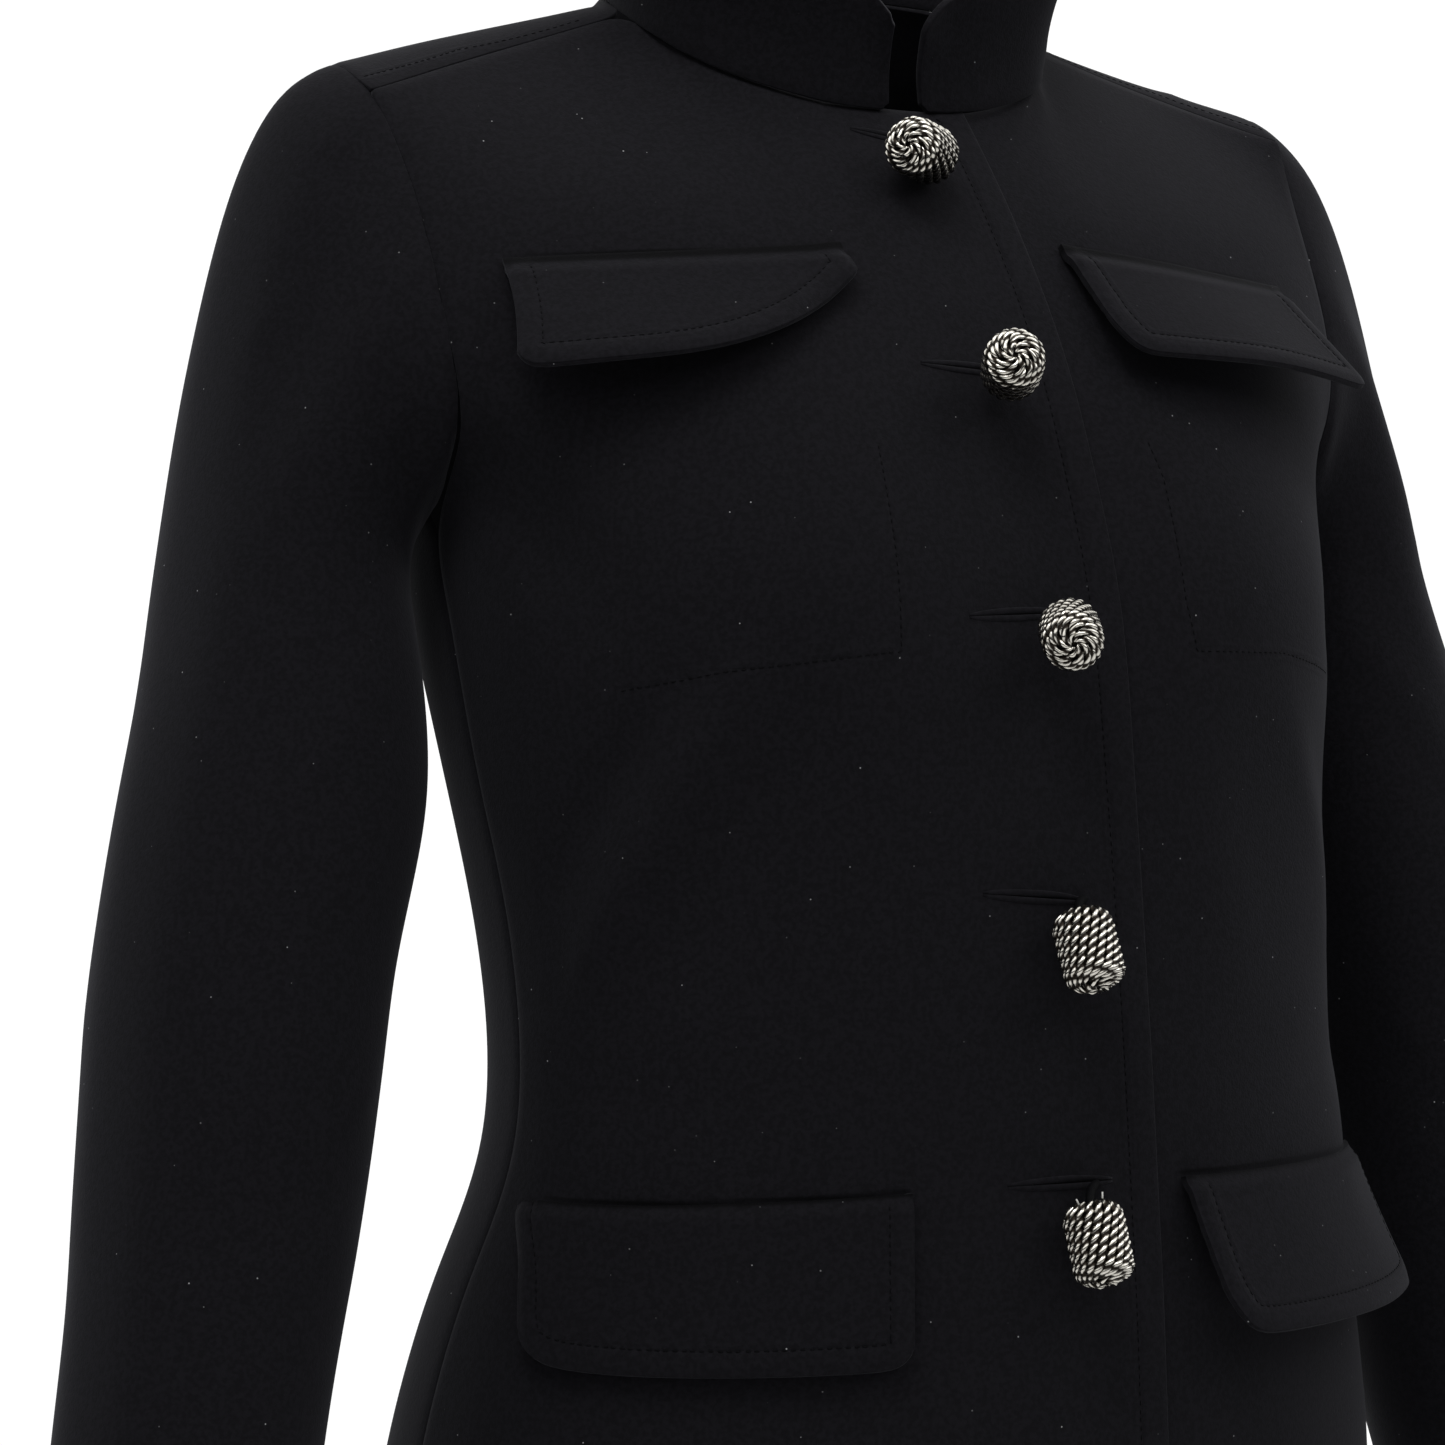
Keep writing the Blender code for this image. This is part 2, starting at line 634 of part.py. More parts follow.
def button_rings(button):
    """Rings of points up the shank and the button, the strands standing proud as they wind."""
    u, v = FRONT.place_of(button.x, button.z)
    base = FRONT.at(u, v)
    normal = FRONT.normal(u, v)
    aim = Vector(button.aim).normalized()
    start = base + normal * SHANK_GAP
    back_end = base + normal * button.reach + Vector((button.aside, 0.0, -button.hang))
    bend = back_end - aim * SHANK_BEND
    path = [start.lerp(bend, t).lerp(bend.lerp(back_end, t), t) for t in (0.0, 0.35, 0.7, 0.95)]
    ways = [(bend - start).lerp(back_end - bend, t).normalized() for t in (0.0, 0.35, 0.7, 0.95)]
    radii = [SHANK_RADIUS] * len(path)
    for along, radius in button_profile():
        path.append(back_end + aim * along)
        ways.append(aim)
        radii.append(radius)
    rings = []
    side = normal.cross(Vector((0.0, 0.0, 1.0))).cross(normal)
    for centre, way, radius in zip(path, ways, radii):
        side = (side - way * side.dot(way)).normalized()
        other = way.cross(side)
        rise = STRAND_RISE if radius > SHANK_RADIUS else 0.0
        wind = STRAND_TURN * (centre - back_end).dot(aim) / BUTTON_LENGTH
        ring = []
        for k in range(2 * STRANDS):
            angle = math.pi * k / STRANDS + wind
            reach = radius + (rise if k % 2 else -rise)
            ring.append(centre + (side * math.cos(angle) + other * math.sin(angle)) * reach)
        rings.append(ring)
    return rings


def build_buttons(collection):
    for button in BUTTONS:
        rings = button_rings(button)
        columns = len(rings[0])
        faces = grid_faces(len(rings), columns, True)
        faces.append(tuple(reversed(range(columns))))
        last = (len(rings) - 1) * columns
        faces.append(tuple(last + k for k in range(columns)))
        points = [point for ring in rings for point in ring]
        mesh_object(button.name, points, faces, DARK_SILVER, collection)


def build_all():
    clear_scene()
    collection = bpy.data.collections.new("four_pocket_jacket")
    bpy.context.scene.collection.children.link(collection)
    build_body(collection)
    build_collar(collection)
    build_sleeves(collection)
    build_flaps(collection)
    build_buttons(collection)


build_all()
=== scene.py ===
"""The looks of a four-pocket jacket: black wool, rolled flaps and buttons of twisted rope form.

Metres, +Z up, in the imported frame. The front faces -Y and the wearer's right is at -X.
"""

from __future__ import annotations

import json
import logging
import math
from dataclasses import dataclass, field
from enum import Enum

import bmesh
import bpy
import numpy as np
from mathutils import Matrix, Vector, kdtree, noise
from mathutils.bvhtree import BVHTree

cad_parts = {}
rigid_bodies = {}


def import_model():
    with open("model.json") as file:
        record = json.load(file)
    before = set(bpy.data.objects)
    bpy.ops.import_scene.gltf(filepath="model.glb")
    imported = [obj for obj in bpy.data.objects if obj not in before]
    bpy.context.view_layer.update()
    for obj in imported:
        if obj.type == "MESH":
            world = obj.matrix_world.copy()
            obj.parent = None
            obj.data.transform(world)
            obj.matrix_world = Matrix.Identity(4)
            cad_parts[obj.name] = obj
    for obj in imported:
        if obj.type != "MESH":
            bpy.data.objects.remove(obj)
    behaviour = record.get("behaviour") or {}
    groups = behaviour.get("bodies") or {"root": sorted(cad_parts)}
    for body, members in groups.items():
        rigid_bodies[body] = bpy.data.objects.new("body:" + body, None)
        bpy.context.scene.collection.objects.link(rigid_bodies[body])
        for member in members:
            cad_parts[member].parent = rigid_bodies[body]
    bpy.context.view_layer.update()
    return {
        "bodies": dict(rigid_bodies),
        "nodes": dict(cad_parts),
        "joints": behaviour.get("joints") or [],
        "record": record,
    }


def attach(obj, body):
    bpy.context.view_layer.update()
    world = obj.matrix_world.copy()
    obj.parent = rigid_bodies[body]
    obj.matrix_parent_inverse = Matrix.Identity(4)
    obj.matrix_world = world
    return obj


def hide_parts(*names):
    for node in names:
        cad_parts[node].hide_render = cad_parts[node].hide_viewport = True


LOG = logging.getLogger("jacket")
BODY = "root"
MM = 0.001
WELD = 0.02 * MM
RIM_ANGLE = math.radians(50.0)
EDGE_ANGLE = math.radians(60.0)
AHEAD_OF_ALL = -0.5
TRUNK = (Vector((0.0, -0.02, 0.0)), Vector((0.0, -0.04, -0.64)))
UNMARKED = 50.0


class Side(Enum):
    """The wearer's side, as the sign of X."""

    RIGHT = -1
    LEFT = 1


class Slot(Enum):
    """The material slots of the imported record."""

    WOOL = "wool"
    METAL = "button_metal"


class Curve(Enum):
    """How a crease pushes the cloth."""

    RIDGE = 1
    TROUGH = -1


@dataclass(frozen=True)
class Crease:
    """One soft fold along a line between two points, highest in its middle."""

    start: tuple[float, float, float]
    end: tuple[float, float, float]
    width: float
    height: float
    curve: Curve = Curve.RIDGE
    end_share: float = 0.35

    def push(self, points: np.ndarray, mirror: int = 1, across: bool = False) -> np.ndarray:
        """How far this crease moves each point along the cloth's normal.

        Args:
            points: The cloth's points, one a row.
            mirror: -1 to lay the crease on the wearer's other side.
            across: Whether depth is left out, so that only X and Z place the crease.

        Returns:
            One distance a point.
        """
        flip = np.array([mirror, 1.0, 1.0])
        if across:
            points = points * np.array([1.0, 0.0, 1.0])
        start = np.array(self.start) * flip
        line = np.array(self.end) * flip - start
        share = np.clip((points - start) @ line / (line @ line), 0.0, 1.0)
        away = np.linalg.norm(points - start - share[:, None] * line, axis=1) / self.width
        taper = self.end_share + (1.0 - self.end_share) * np.sin(math.pi * share)
        return self.curve.value * self.height * taper * np.exp(-away * away)


class Points:
    """A set of points with quick distances to it."""

    def __init__(self, points: list[Vector]) -> None:
        """Keeps the points and sorts them for the search.

        Args:
            points: The points, in order where they have one.
        """
        self.points = points
        self.tree = kdtree.KDTree(len(points))
        for k, point in enumerate(points):
            self.tree.insert(point, k)
        self.tree.balance()

    def distances(self, points: np.ndarray) -> np.ndarray:
        """The distance of each point from the set."""
        return np.array([self.tree.find(Vector(point))[2] for point in points])


class Line(Points):
    """A run of close points on the cloth, in order."""

    def __init__(self, corners: list[Vector], step: float = 0.6 * MM) -> None:
        """Fills the run in so that no two points are further apart than step.

        Args:
            corners: The run's corners in order.
            step: The longest distance between points.
        """
        filled = []
        for one, other in zip(corners, corners[1:]):
            count = max(1, math.ceil((other - one).length / step))
            filled += [one.lerp(other, k / count) for k in range(count)]
        filled.append(corners[-1])
        super().__init__(filled)
        self.along = [0.0]
        for one, other in zip(self.points, self.points[1:]):
            self.along.append(self.along[-1] + (other - one).length)

    def spaced(self, step: float, start: float = 0.0) -> list[tuple[Vector, Vector]]:
        """Points along the run, each with the way that the run goes there.

        Args:
            step: The distance between the points.
            start: The first one's distance along the run.

        Returns:
            Pairs of a point and a direction.
        """
        found = []
        last = len(self.points) - 1
        at, k = start, 0
        while at < self.along[-1]:
            while k < last - 1 and self.along[k + 1] < at:
                k += 1
            way = (self.points[min(k + 3, last)] - self.points[max(k - 3, 0)]).normalized()
            found.append((self.points[k].copy(), way))
            at += step
        return found


def link(piece: bpy.types.Object) -> bpy.types.Object:
    """Puts a new object in the scene's collection and returns it."""
    bpy.context.scene.collection.objects.link(piece)
    return piece


def new_piece(name: str, shape: bmesh.types.BMesh, finish: bpy.types.Material) -> bpy.types.Object:
    """Makes a piece from a bmesh, which it frees.

    Args:
        name: The piece's name.
        shape: Its mesh, in place.
        finish: Its material.

    Returns:
        The linked object.
    """
    mesh = bpy.data.meshes.new(name)
    shape.to_mesh(mesh)
    shape.free()
    mesh.materials.append(finish)
    mesh.shade_smooth()
    return link(bpy.data.objects.new(name, mesh))


def hand_over(piece: bpy.types.Object) -> None:
    """Lets a piece ride on the jacket's body and reports it.

    Args:
        piece: The finished piece.
    """
    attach(piece, BODY)
    LOG.info("%s: %d faces", piece.name, len(piece.data.polygons))


def cast_back(surface: BVHTree, x: float, z: float) -> tuple[Vector | None, Vector | None]:
    """Where a cloth is met from straight ahead of it.

    Args:
        surface: The cloth's search tree.
        x: How far to the side the place is.
        z: How high it is.

    Returns:
        The place and the cloth's normal there, or nothing twice where there is no cloth.
    """
    return surface.ray_cast(Vector((x, AHEAD_OF_ALL, z)), Vector((0.0, 1.0, 0.0)))[:2]


def sweep(shape: bmesh.types.BMesh, rings: list[list[Vector]]) -> list[list[bmesh.types.BMVert]]:
    """Draws a ring through stations by extruding it, and closes both ends.

    Args:
        shape: The bmesh that the tube goes in.
        rings: The points of each station, the same number in each.

    Returns:
        The vertices of each station.
    """
    made = bmesh.ops.create_circle(shape, cap_ends=False, segments=len(rings[0]), radius=1.0)
    verts = list(made["verts"])
    for vert, point in zip(verts, rings[0]):
        vert.co = point
    own = set(verts)
    edges = list(dict.fromkeys(e for vert in verts for e in vert.link_edges if own.issuperset(e.verts)))
    first, stations = edges, [verts]
    for ring in rings[1:]:
        out = bmesh.ops.extrude_edge_only(shape, edges=edges)["geom"]
        fresh = {item for item in out if isinstance(item, bmesh.types.BMVert)}
        verts = [next(e.other_vert(v) for e in v.link_edges if e.other_vert(v) in fresh) for v in verts]
        drawn = (item for item in out if isinstance(item, bmesh.types.BMEdge))
        edges = [edge for edge in drawn if fresh.issuperset(edge.verts)]
        for vert, point in zip(verts, ring):
            vert.co = point
        stations.append(verts)
    bmesh.ops.edgeloop_fill(shape, edges=first)
    bmesh.ops.edgeloop_fill(shape, edges=edges)
    faces = dict.fromkeys(face for station in stations for vert in station for face in vert.link_faces)
    bmesh.ops.recalc_face_normals(shape, faces=list(faces))
    return stations


def tube_rings(
    path: list[Vector], outs: list[Vector], wide: list[float], high: list[float], sides: int
) -> list[list[Vector]]:
    """Oval rings square to a path.

    Args:
        path: The tube's middle line.
        outs: For each of its points, the way that the oval's height goes.
        wide: Half the oval's width at each point.
        high: Half its height.
        sides: How many points go round.

    Returns:
        The rings.
    """
    rings = []
    last = len(path) - 1
    for k, middle in enumerate(path):
        way = (path[min(k + 1, last)] - path[max(k - 1, 0)]).normalized()
        out = (outs[k] - way * outs[k].dot(way)).normalized()
        side = way.cross(out)
        angles = [2.0 * math.pi * n / sides for n in range(sides)]
        rings.append([middle + out * math.cos(a) * high[k] + side * math.sin(a) * wide[k] for a in angles])
    return rings


class Cloth:
    """A cloth piece as one fine sheet, taken from the outer face of its node's wall."""

    def __init__(self, name: str, node: bpy.types.Object, core: tuple[Vector, Vector], levels: int) -> None:
        """Copies the node's outer face and refines it.

        Args:
            name: The new piece's name.
            node: The CAD node that it stands for.
            core: Two points of a line inside the hollow that the cloth goes round.
            levels: How many times its faces are halved.
        """
        self.name = name
        self.node = node.name
        self.piece = self._refined(self._outer_face(node, core), levels)
        self._read()

    def _outer_face(self, node: bpy.types.Object, core: tuple[Vector, Vector]) -> bmesh.types.BMesh:
        """The outer face of the wall as four-sided faces.

        Args:
            node: The CAD node, whose own mesh is left alone.
            core: Two points of the line that the cloth goes round.

        Returns:
            The outer face as a mesh of its own.
        """
        shell = bmesh.new()
        shell.from_mesh(node.data)
        bmesh.ops.remove_doubles(shell, verts=shell.verts[:], dist=WELD)
        rim = [e for e in shell.edges if e.is_manifold and e.calc_face_angle() > RIM_ANGLE]
        bmesh.ops.split_edges(shell, edges=rim)
        outer = max(self._islands(shell), key=lambda faces: self._outwardness(faces, core))
        keep = set(outer)
        others = [face for face in shell.faces if face not in keep]
        bmesh.ops.delete(shell, geom=others, context="FACES")
        bmesh.ops.remove_doubles(shell, verts=shell.verts[:], dist=WELD)
        bmesh.ops.join_triangles(
            shell, faces=shell.faces[:], angle_face_threshold=math.pi, angle_shape_threshold=math.pi
        )
        return shell

    @staticmethod
    def _islands(shell: bmesh.types.BMesh) -> list[list[bmesh.types.BMFace]]:
        """The faces of a bmesh in groups that hang together.

        Args:
            shell: The bmesh, split along its rims.

        Returns:
            The groups.
        """
        left = set(shell.faces)
        groups = []
        while left:
            group = [left.pop()]
            for face in group:
                for edge in face.edges:
                    for other in edge.link_faces:
                        if other in left:
                            left.remove(other)
                            group.append(other)
            groups.append(group)
        return groups

    @staticmethod
    def _outwardness(faces: list[bmesh.types.BMFace], core: tuple[Vector, Vector]) -> float:
        """The area of the faces that looks away from the core, less what looks towards it.

        Args:
            faces: The faces of one group.
            core: Two points of the line that the cloth goes round.

        Returns:
            The area in square metres, below zero for an inner face.
        """
        start, line = core[0], core[1] - core[0]
        total = 0.0
        for face in faces:
            middle = face.calc_center_median()
            share = (middle - start).dot(line) / line.length_squared
            total += face.calc_area() * face.normal.dot((middle - start - line * share).normalized())
        return total

    def _refined(self, sheet: bmesh.types.BMesh, levels: int) -> bpy.types.Object:
        """The sheet as an object with its faces halved and smoothed.

        Args:
            sheet: The coarse sheet, which is freed.
            levels: How many times its faces are halved.

        Returns:
            The linked object.
        """
        coarse = bpy.data.meshes.new(self.name)
        sheet.to_mesh(coarse)
        sheet.free()
        piece = link(bpy.data.objects.new(self.name, coarse))
        halve = piece.modifiers.new("halve", "SUBSURF")
        halve.levels = halve.render_levels = levels
        halve.boundary_smooth = "PRESERVE_CORNERS"
        bpy.context.view_layer.update()
        graph = bpy.context.evaluated_depsgraph_get()
        piece_mesh = bpy.data.meshes.new_from_object(piece.evaluated_get(graph))
        piece.modifiers.clear()
        piece.data = piece_mesh
        bpy.data.meshes.remove(coarse)
        return piece

    def _read(self) -> None:
        """Reads the sheet's points and normals."""
        mesh = self.piece.data
        count = len(mesh.vertices)
        self.points = np.empty(count * 3)
        mesh.vertices.foreach_get("co", self.points)
        self.points = self.points.reshape(-1, 3)
        self.normals = np.empty(count * 3)
        mesh.vertices.foreach_get("normal", self.normals)
        self.normals = self.normals.reshape(-1, 3)

    def borders(self) -> list[list[Vector]]:
        """The sheet's open edges.

        Returns:
            Runs of points, each with its first point again at its end.
        """
        shape = bmesh.new()
        shape.from_mesh(self.piece.data)
        left = dict.fromkeys(edge for edge in shape.edges if edge.is_boundary)
        runs = []
        while left:
            edge = next(iter(left))
            del left[edge]
            first, here = edge.verts
            run = [first.co.copy(), here.co.copy()]
            while here is not first:
                ahead = [e for e in here.link_edges if e in left]
                if not ahead:
                    break
                del left[ahead[0]]
                here = ahead[0].other_vert(here)
                run.append(here.co.copy())
            runs.append(run)
        shape.free()
        return runs

    def reach(self, amount: float) -> None:
        """Draws the open edges outwards in the cloth's own plane, so that the seams close.

        Args:
            amount: How far each edge point moves.
        """
        shape = bmesh.new()
        shape.from_mesh(self.piece.data)
        moves = []
        for vert in shape.verts:
            if vert.is_boundary:
                inner = [e.other_vert(vert).co for e in vert.link_edges if not e.is_boundary]
                if inner:
                    way = vert.co - sum(inner, Vector()) / len(inner)
                    way -= vert.normal * way.dot(vert.normal)
                    moves.append((vert, way.normalized() * amount))
        for vert, move in moves:
            vert.co += move
        shape.to_mesh(self.piece.data)
        shape.free()
        self._read()

    def push(self, amounts: np.ndarray) -> None:
        """Moves each point along its normal and reads the sheet again."""
        self.move(self.normals * amounts[:, None])

    def move(self, steps: np.ndarray) -> None:
        """Moves each point by its own step and reads the sheet again.

        Args:
            steps: One step a point.
        """
        moved = self.points + steps
        self.piece.data.vertices.foreach_set("co", moved.ravel())
        self.piece.data.update()
        self._read()

    def mark(self, name: str, values: np.ndarray) -> None:
        """Stores one number a point for the material to read."""
        mark(self.piece.data, name, values)

    def surface(self) -> BVHTree:
        """A search tree of the sheet as it is now.

        Returns:
            The tree.
        """
        shape = bmesh.new()
        shape.from_mesh(self.piece.data)
        tree = BVHTree.FromBMesh(shape)
        shape.free()
        return tree

    def area(self) -> float:
        """The sheet's area in square metres."""
        return sum(face.area for face in self.piece.data.polygons)

    def finish(self, finish: bpy.types.Material, wall: float, edge: float) -> None:
        """Gives the sheet its wall, rounds the wall's edges and puts it in the node's place.

        Args:
            finish: The cloth's material.
            wall: Its thickness, taken inwards.
            edge: The roundness of its edges.
        """
        mesh = self.piece.data
        mesh.materials.clear()
        mesh.materials.append(finish)
        mesh.shade_smooth()
        solid = self.piece.modifiers.new("wall", "SOLIDIFY")
        solid.thickness = wall
        solid.offset = -1.0
        solid.use_even_offset = False
        soft = self.piece.modifiers.new("edge", "BEVEL")
        soft.width = edge
        soft.segments = 2
        soft.limit_method = "ANGLE"
        soft.angle_limit = EDGE_ANGLE
        hand_over(self.piece)
        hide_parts(self.node)


def mark(mesh: bpy.types.Mesh, name: str, values: np.ndarray) -> None:
    """Stores one number a point for the material to read.

    Args:
        mesh: The piece's mesh.
        name: The name that the material reads.
        values: One number a point.
    """
    held = mesh.attributes.get(name) or mesh.attributes.new(name, "FLOAT", "POINT")
    held.data.foreach_set("value", values.astype(np.float32))


def mark_plain(piece: bpy.types.Object) -> None:
    """Marks a wool piece as far from any stitching and from any sewn ditch."""
    for name in ("stitch_line", "ditch"):
        mark(piece.data, name, np.full(len(piece.data.vertices), UNMARKED))


def ease(share: np.ndarray) -> np.ndarray:
    """A smooth step from 0 to 1 as share goes from 0 to 1."""
    share = np.clip(share, 0.0, 1.0)
    return share * share * (3.0 - 2.0 * share)


def unevenness(points: np.ndarray, size: float, height: float) -> np.ndarray:
    """The small unevenness of hand-steamed cloth.

    Args:
        points: The cloth's points, one a row.
        size: How wide the waves are.
        height: How high they are.

    Returns:
        One distance a point.
    """
    return np.array([noise.noise(Vector(point) / size) * height for point in points])


class Nodes:
    """Short calls for placing and joining shader nodes in one tree."""

    def __init__(self, tree: bpy.types.NodeTree) -> None:
        """Keeps the tree that the nodes go in."""
        self.tree = tree

    def add(
        self, kind: str, inputs: dict[str | int, object] | None = None, **settings: object
    ) -> bpy.types.Node:
        """Adds a node.

        Args:
            kind: The node's type name.
            inputs: Values or outputs for its sockets, by name or number.
            settings: Values for its own settings.

        Returns:
            The node.
        """
        node = self.tree.nodes.new(kind)
        for name, value in settings.items():
            setattr(node, name, value)
        for name, value in (inputs or {}).items():
            self.join(value, node.inputs[name])
        return node

    def join(self, value: object, socket: bpy.types.NodeSocket) -> None:
        """Links an output to a socket, or sets the socket to a plain value."""
        if isinstance(value, bpy.types.NodeSocket):
            self.tree.links.new(value, socket)
        else:
            socket.default_value = value

    def noise(self, place: object, scale: float, detail: float) -> bpy.types.NodeSocket:
        """The value of a Noise Texture node at a place."""
        inputs = {"Vector": place, "Scale": scale, "Detail": detail}
        return self.add("ShaderNodeTexNoise", inputs).outputs["Fac"]

    def stored(self, name: str) -> bpy.types.NodeSocket:
        """The number that a piece holds under a name."""
        return self.add("ShaderNodeAttribute", attribute_name=name).outputs["Fac"]

    def maths(self, operation: str, *values: object) -> bpy.types.NodeSocket:
        """The result of a Math node on the values."""
        return self.add("ShaderNodeMath", dict(enumerate(values)), operation=operation).outputs[0]

    def blend(self, share: object, one: object, other: object) -> bpy.types.NodeSocket:
        """A colour between two others.

        Args:
            share: 0 for the first colour, 1 for the second.
            one: The first.
            other: The second.

        Returns:
            The colour.
        """
        node = self.add("ShaderNodeMix", data_type="RGBA")
        self.join(share, node.inputs["Factor"])
        self.join(one, node.inputs["A"])
        self.join(other, node.inputs["B"])
        return node.outputs["Result"]

    def ramp(
        self, value: object, low: float, high: float, start: float = 0.0, end: float = 1.0
    ) -> bpy.types.NodeSocket:
        """A value moved from one range smoothly into another.

        Args:
            value: The value.
            low: Where its range starts.
            high: Where its range ends.
            start: What low becomes.
            end: What high becomes.

        Returns:
            The moved value.
        """
        inputs = {"Value": value, "From Min": low, "From Max": high, "To Min": start, "To Max": end}
        return self.add("ShaderNodeMapRange", inputs, interpolation_type="SMOOTHSTEP").outputs["Result"]


def new_finish(name: str) -> tuple[bpy.types.Material, Nodes, bpy.types.Node, bpy.types.NodeSocket]:
    """Starts a material.

    Args:
        name: The material's name.

    Returns:
        The material, calls for its nodes, its shader, and the place on the piece.
    """
    made = bpy.data.materials.new(name)
    made.use_nodes = True
    nodes = Nodes(made.node_tree)
    place = nodes.add("ShaderNodeTexCoord").outputs["Object"]
    return made, nodes, made.node_tree.nodes["Principled BSDF"], place


def new_group(
    name: str, inputs: dict[str, tuple[str, object]], outputs: dict[str, str]
) -> tuple[bpy.types.NodeTree, Nodes, bpy.types.Node, bpy.types.Node]:
    """Starts a shader node group.

    Args:
        name: The group's name.
        inputs: Each input's socket type and default.
        outputs: Each output's socket type.

    Returns:
        The group, calls for its nodes, and its input and output nodes.
    """
    group = bpy.data.node_groups.new(name, "ShaderNodeTree")
    for label, (kind, value) in inputs.items():
        socket = group.interface.new_socket(label, in_out="INPUT", socket_type=kind)
        if value is not None:
            socket.default_value = value
    for label, kind in outputs.items():
        group.interface.new_socket(label, in_out="OUTPUT", socket_type=kind)
    nodes = Nodes(group)
    return group, nodes, nodes.add("NodeGroupInput"), nodes.add("NodeGroupOutput")


class CrepeGroup:
    """The crepe weave, nap and lint of the wool as one node group, with a painted shadow along the sewn
    ditches.
    """

    pebbles_in_thread: float = 0.75
    slub_scale: float = 560.0
    lint_scale: float = 130.0
    lint_size: tuple[float, float] = (0.044, 0.030)
    lint_patch_scale: float = 31.0
    lint_patches: tuple[float, float] = (0.38, 0.50)
    lint_contrast: float = 1.1
    pebble_relief: float = -0.30
    slub_relief: float = 0.28
    seam_relief: float = 0.9
    groove_width: float = 1.1
    puff_distance: float = 2.1
    puff_width: float = 1.3
    puff_rise: float = 0.35
    ditch_shade_range: tuple[float, float] = (0.3, 1.7)
    ditch_shade_strength: float = 0.9
    _made: bpy.types.NodeTree | None = None

    @classmethod
    def tree(cls) -> bpy.types.NodeTree:
        """The group, made the first time that it is asked for."""
        if cls._made is None:
            cls._made = cls._build()
        return cls._made

    @classmethod
    def _build(cls) -> bpy.types.NodeTree:
        """Builds the group from layered noise at the size of threads, slubs and lint, and a painted shadow
        beside the flaps' top seams.

        Returns:
            The group.
        """
        number = "NodeSocketFloat"
        group, nodes, given, out = new_group(
            "crepe_wool",
            {
                "Vector": ("NodeSocketVector", None),
                "Thread": (number, 0.6 * MM),
                "Stitch": (number, 100.0),
                "Ditch": (number, 100.0),
            },
            {"Shade": number, "Lint": number, "Height": number, "Shadow": number},
        )
        place = given.outputs["Vector"]
        thread = nodes.maths("DIVIDE", cls.pebbles_in_thread, given.outputs["Thread"])
        pebble = nodes.add("ShaderNodeTexVoronoi", {"Vector": place, "Scale": thread}).outputs["Distance"]
        slub = nodes.noise(place, cls.slub_scale, 1.0)
        near = nodes.maths("ABSOLUTE", given.outputs["Stitch"])
        groove = nodes.ramp(near, 0.0, cls.groove_width, -1.0, 0.0)
        from_puff = nodes.maths("ABSOLUTE", nodes.maths("SUBTRACT", near, cls.puff_distance))
        puff = nodes.ramp(from_puff, 0.0, cls.puff_width, cls.puff_rise, 0.0)
        pebble = nodes.maths("MULTIPLY", pebble, cls.pebble_relief)
        weave = nodes.maths("ADD", pebble, nodes.maths("MULTIPLY", slub, cls.slub_relief))
        seam = nodes.maths("MULTIPLY", nodes.maths("ADD", groove, puff), cls.seam_relief)
        nodes.join(slub, out.inputs["Shade"])
        nodes.join(cls._lint(nodes, place), out.inputs["Lint"])
        nodes.join(nodes.maths("ADD", weave, seam), out.inputs["Height"])
        # Painted shadow: the Ditch distance becomes darkening in a narrow band by each flap's top seam.
        shadow = nodes.ramp(given.outputs["Ditch"], *cls.ditch_shade_range, cls.ditch_shade_strength, 0.0)
        nodes.join(shadow, out.inputs["Shadow"])
        return group

    @classmethod
    def _lint(cls, nodes: Nodes, place: bpy.types.NodeSocket) -> bpy.types.NodeSocket:
        """Specks of lint, more of them in some patches than in others.

        Args:
            nodes: Calls for the group's nodes.
            place: The place on the piece.

        Returns:
            How much of a speck there is at the place.
        """
        inputs = {"Vector": place, "Scale": cls.lint_scale, "Randomness": 1.0}
        speck = nodes.add("ShaderNodeTexVoronoi", inputs)
        spot = nodes.ramp(speck.outputs["Distance"], *cls.lint_size)
        patches = nodes.ramp(nodes.noise(place, cls.lint_patch_scale, 0.0), *cls.lint_patches)
        strength = nodes.add("ShaderNodeSeparateXYZ", {"Vector": speck.outputs["Color"]}).outputs["X"]
        strength = nodes.maths("POWER", strength, cls.lint_contrast)
        return nodes.maths("MULTIPLY", nodes.maths("MULTIPLY", spot, patches), strength)


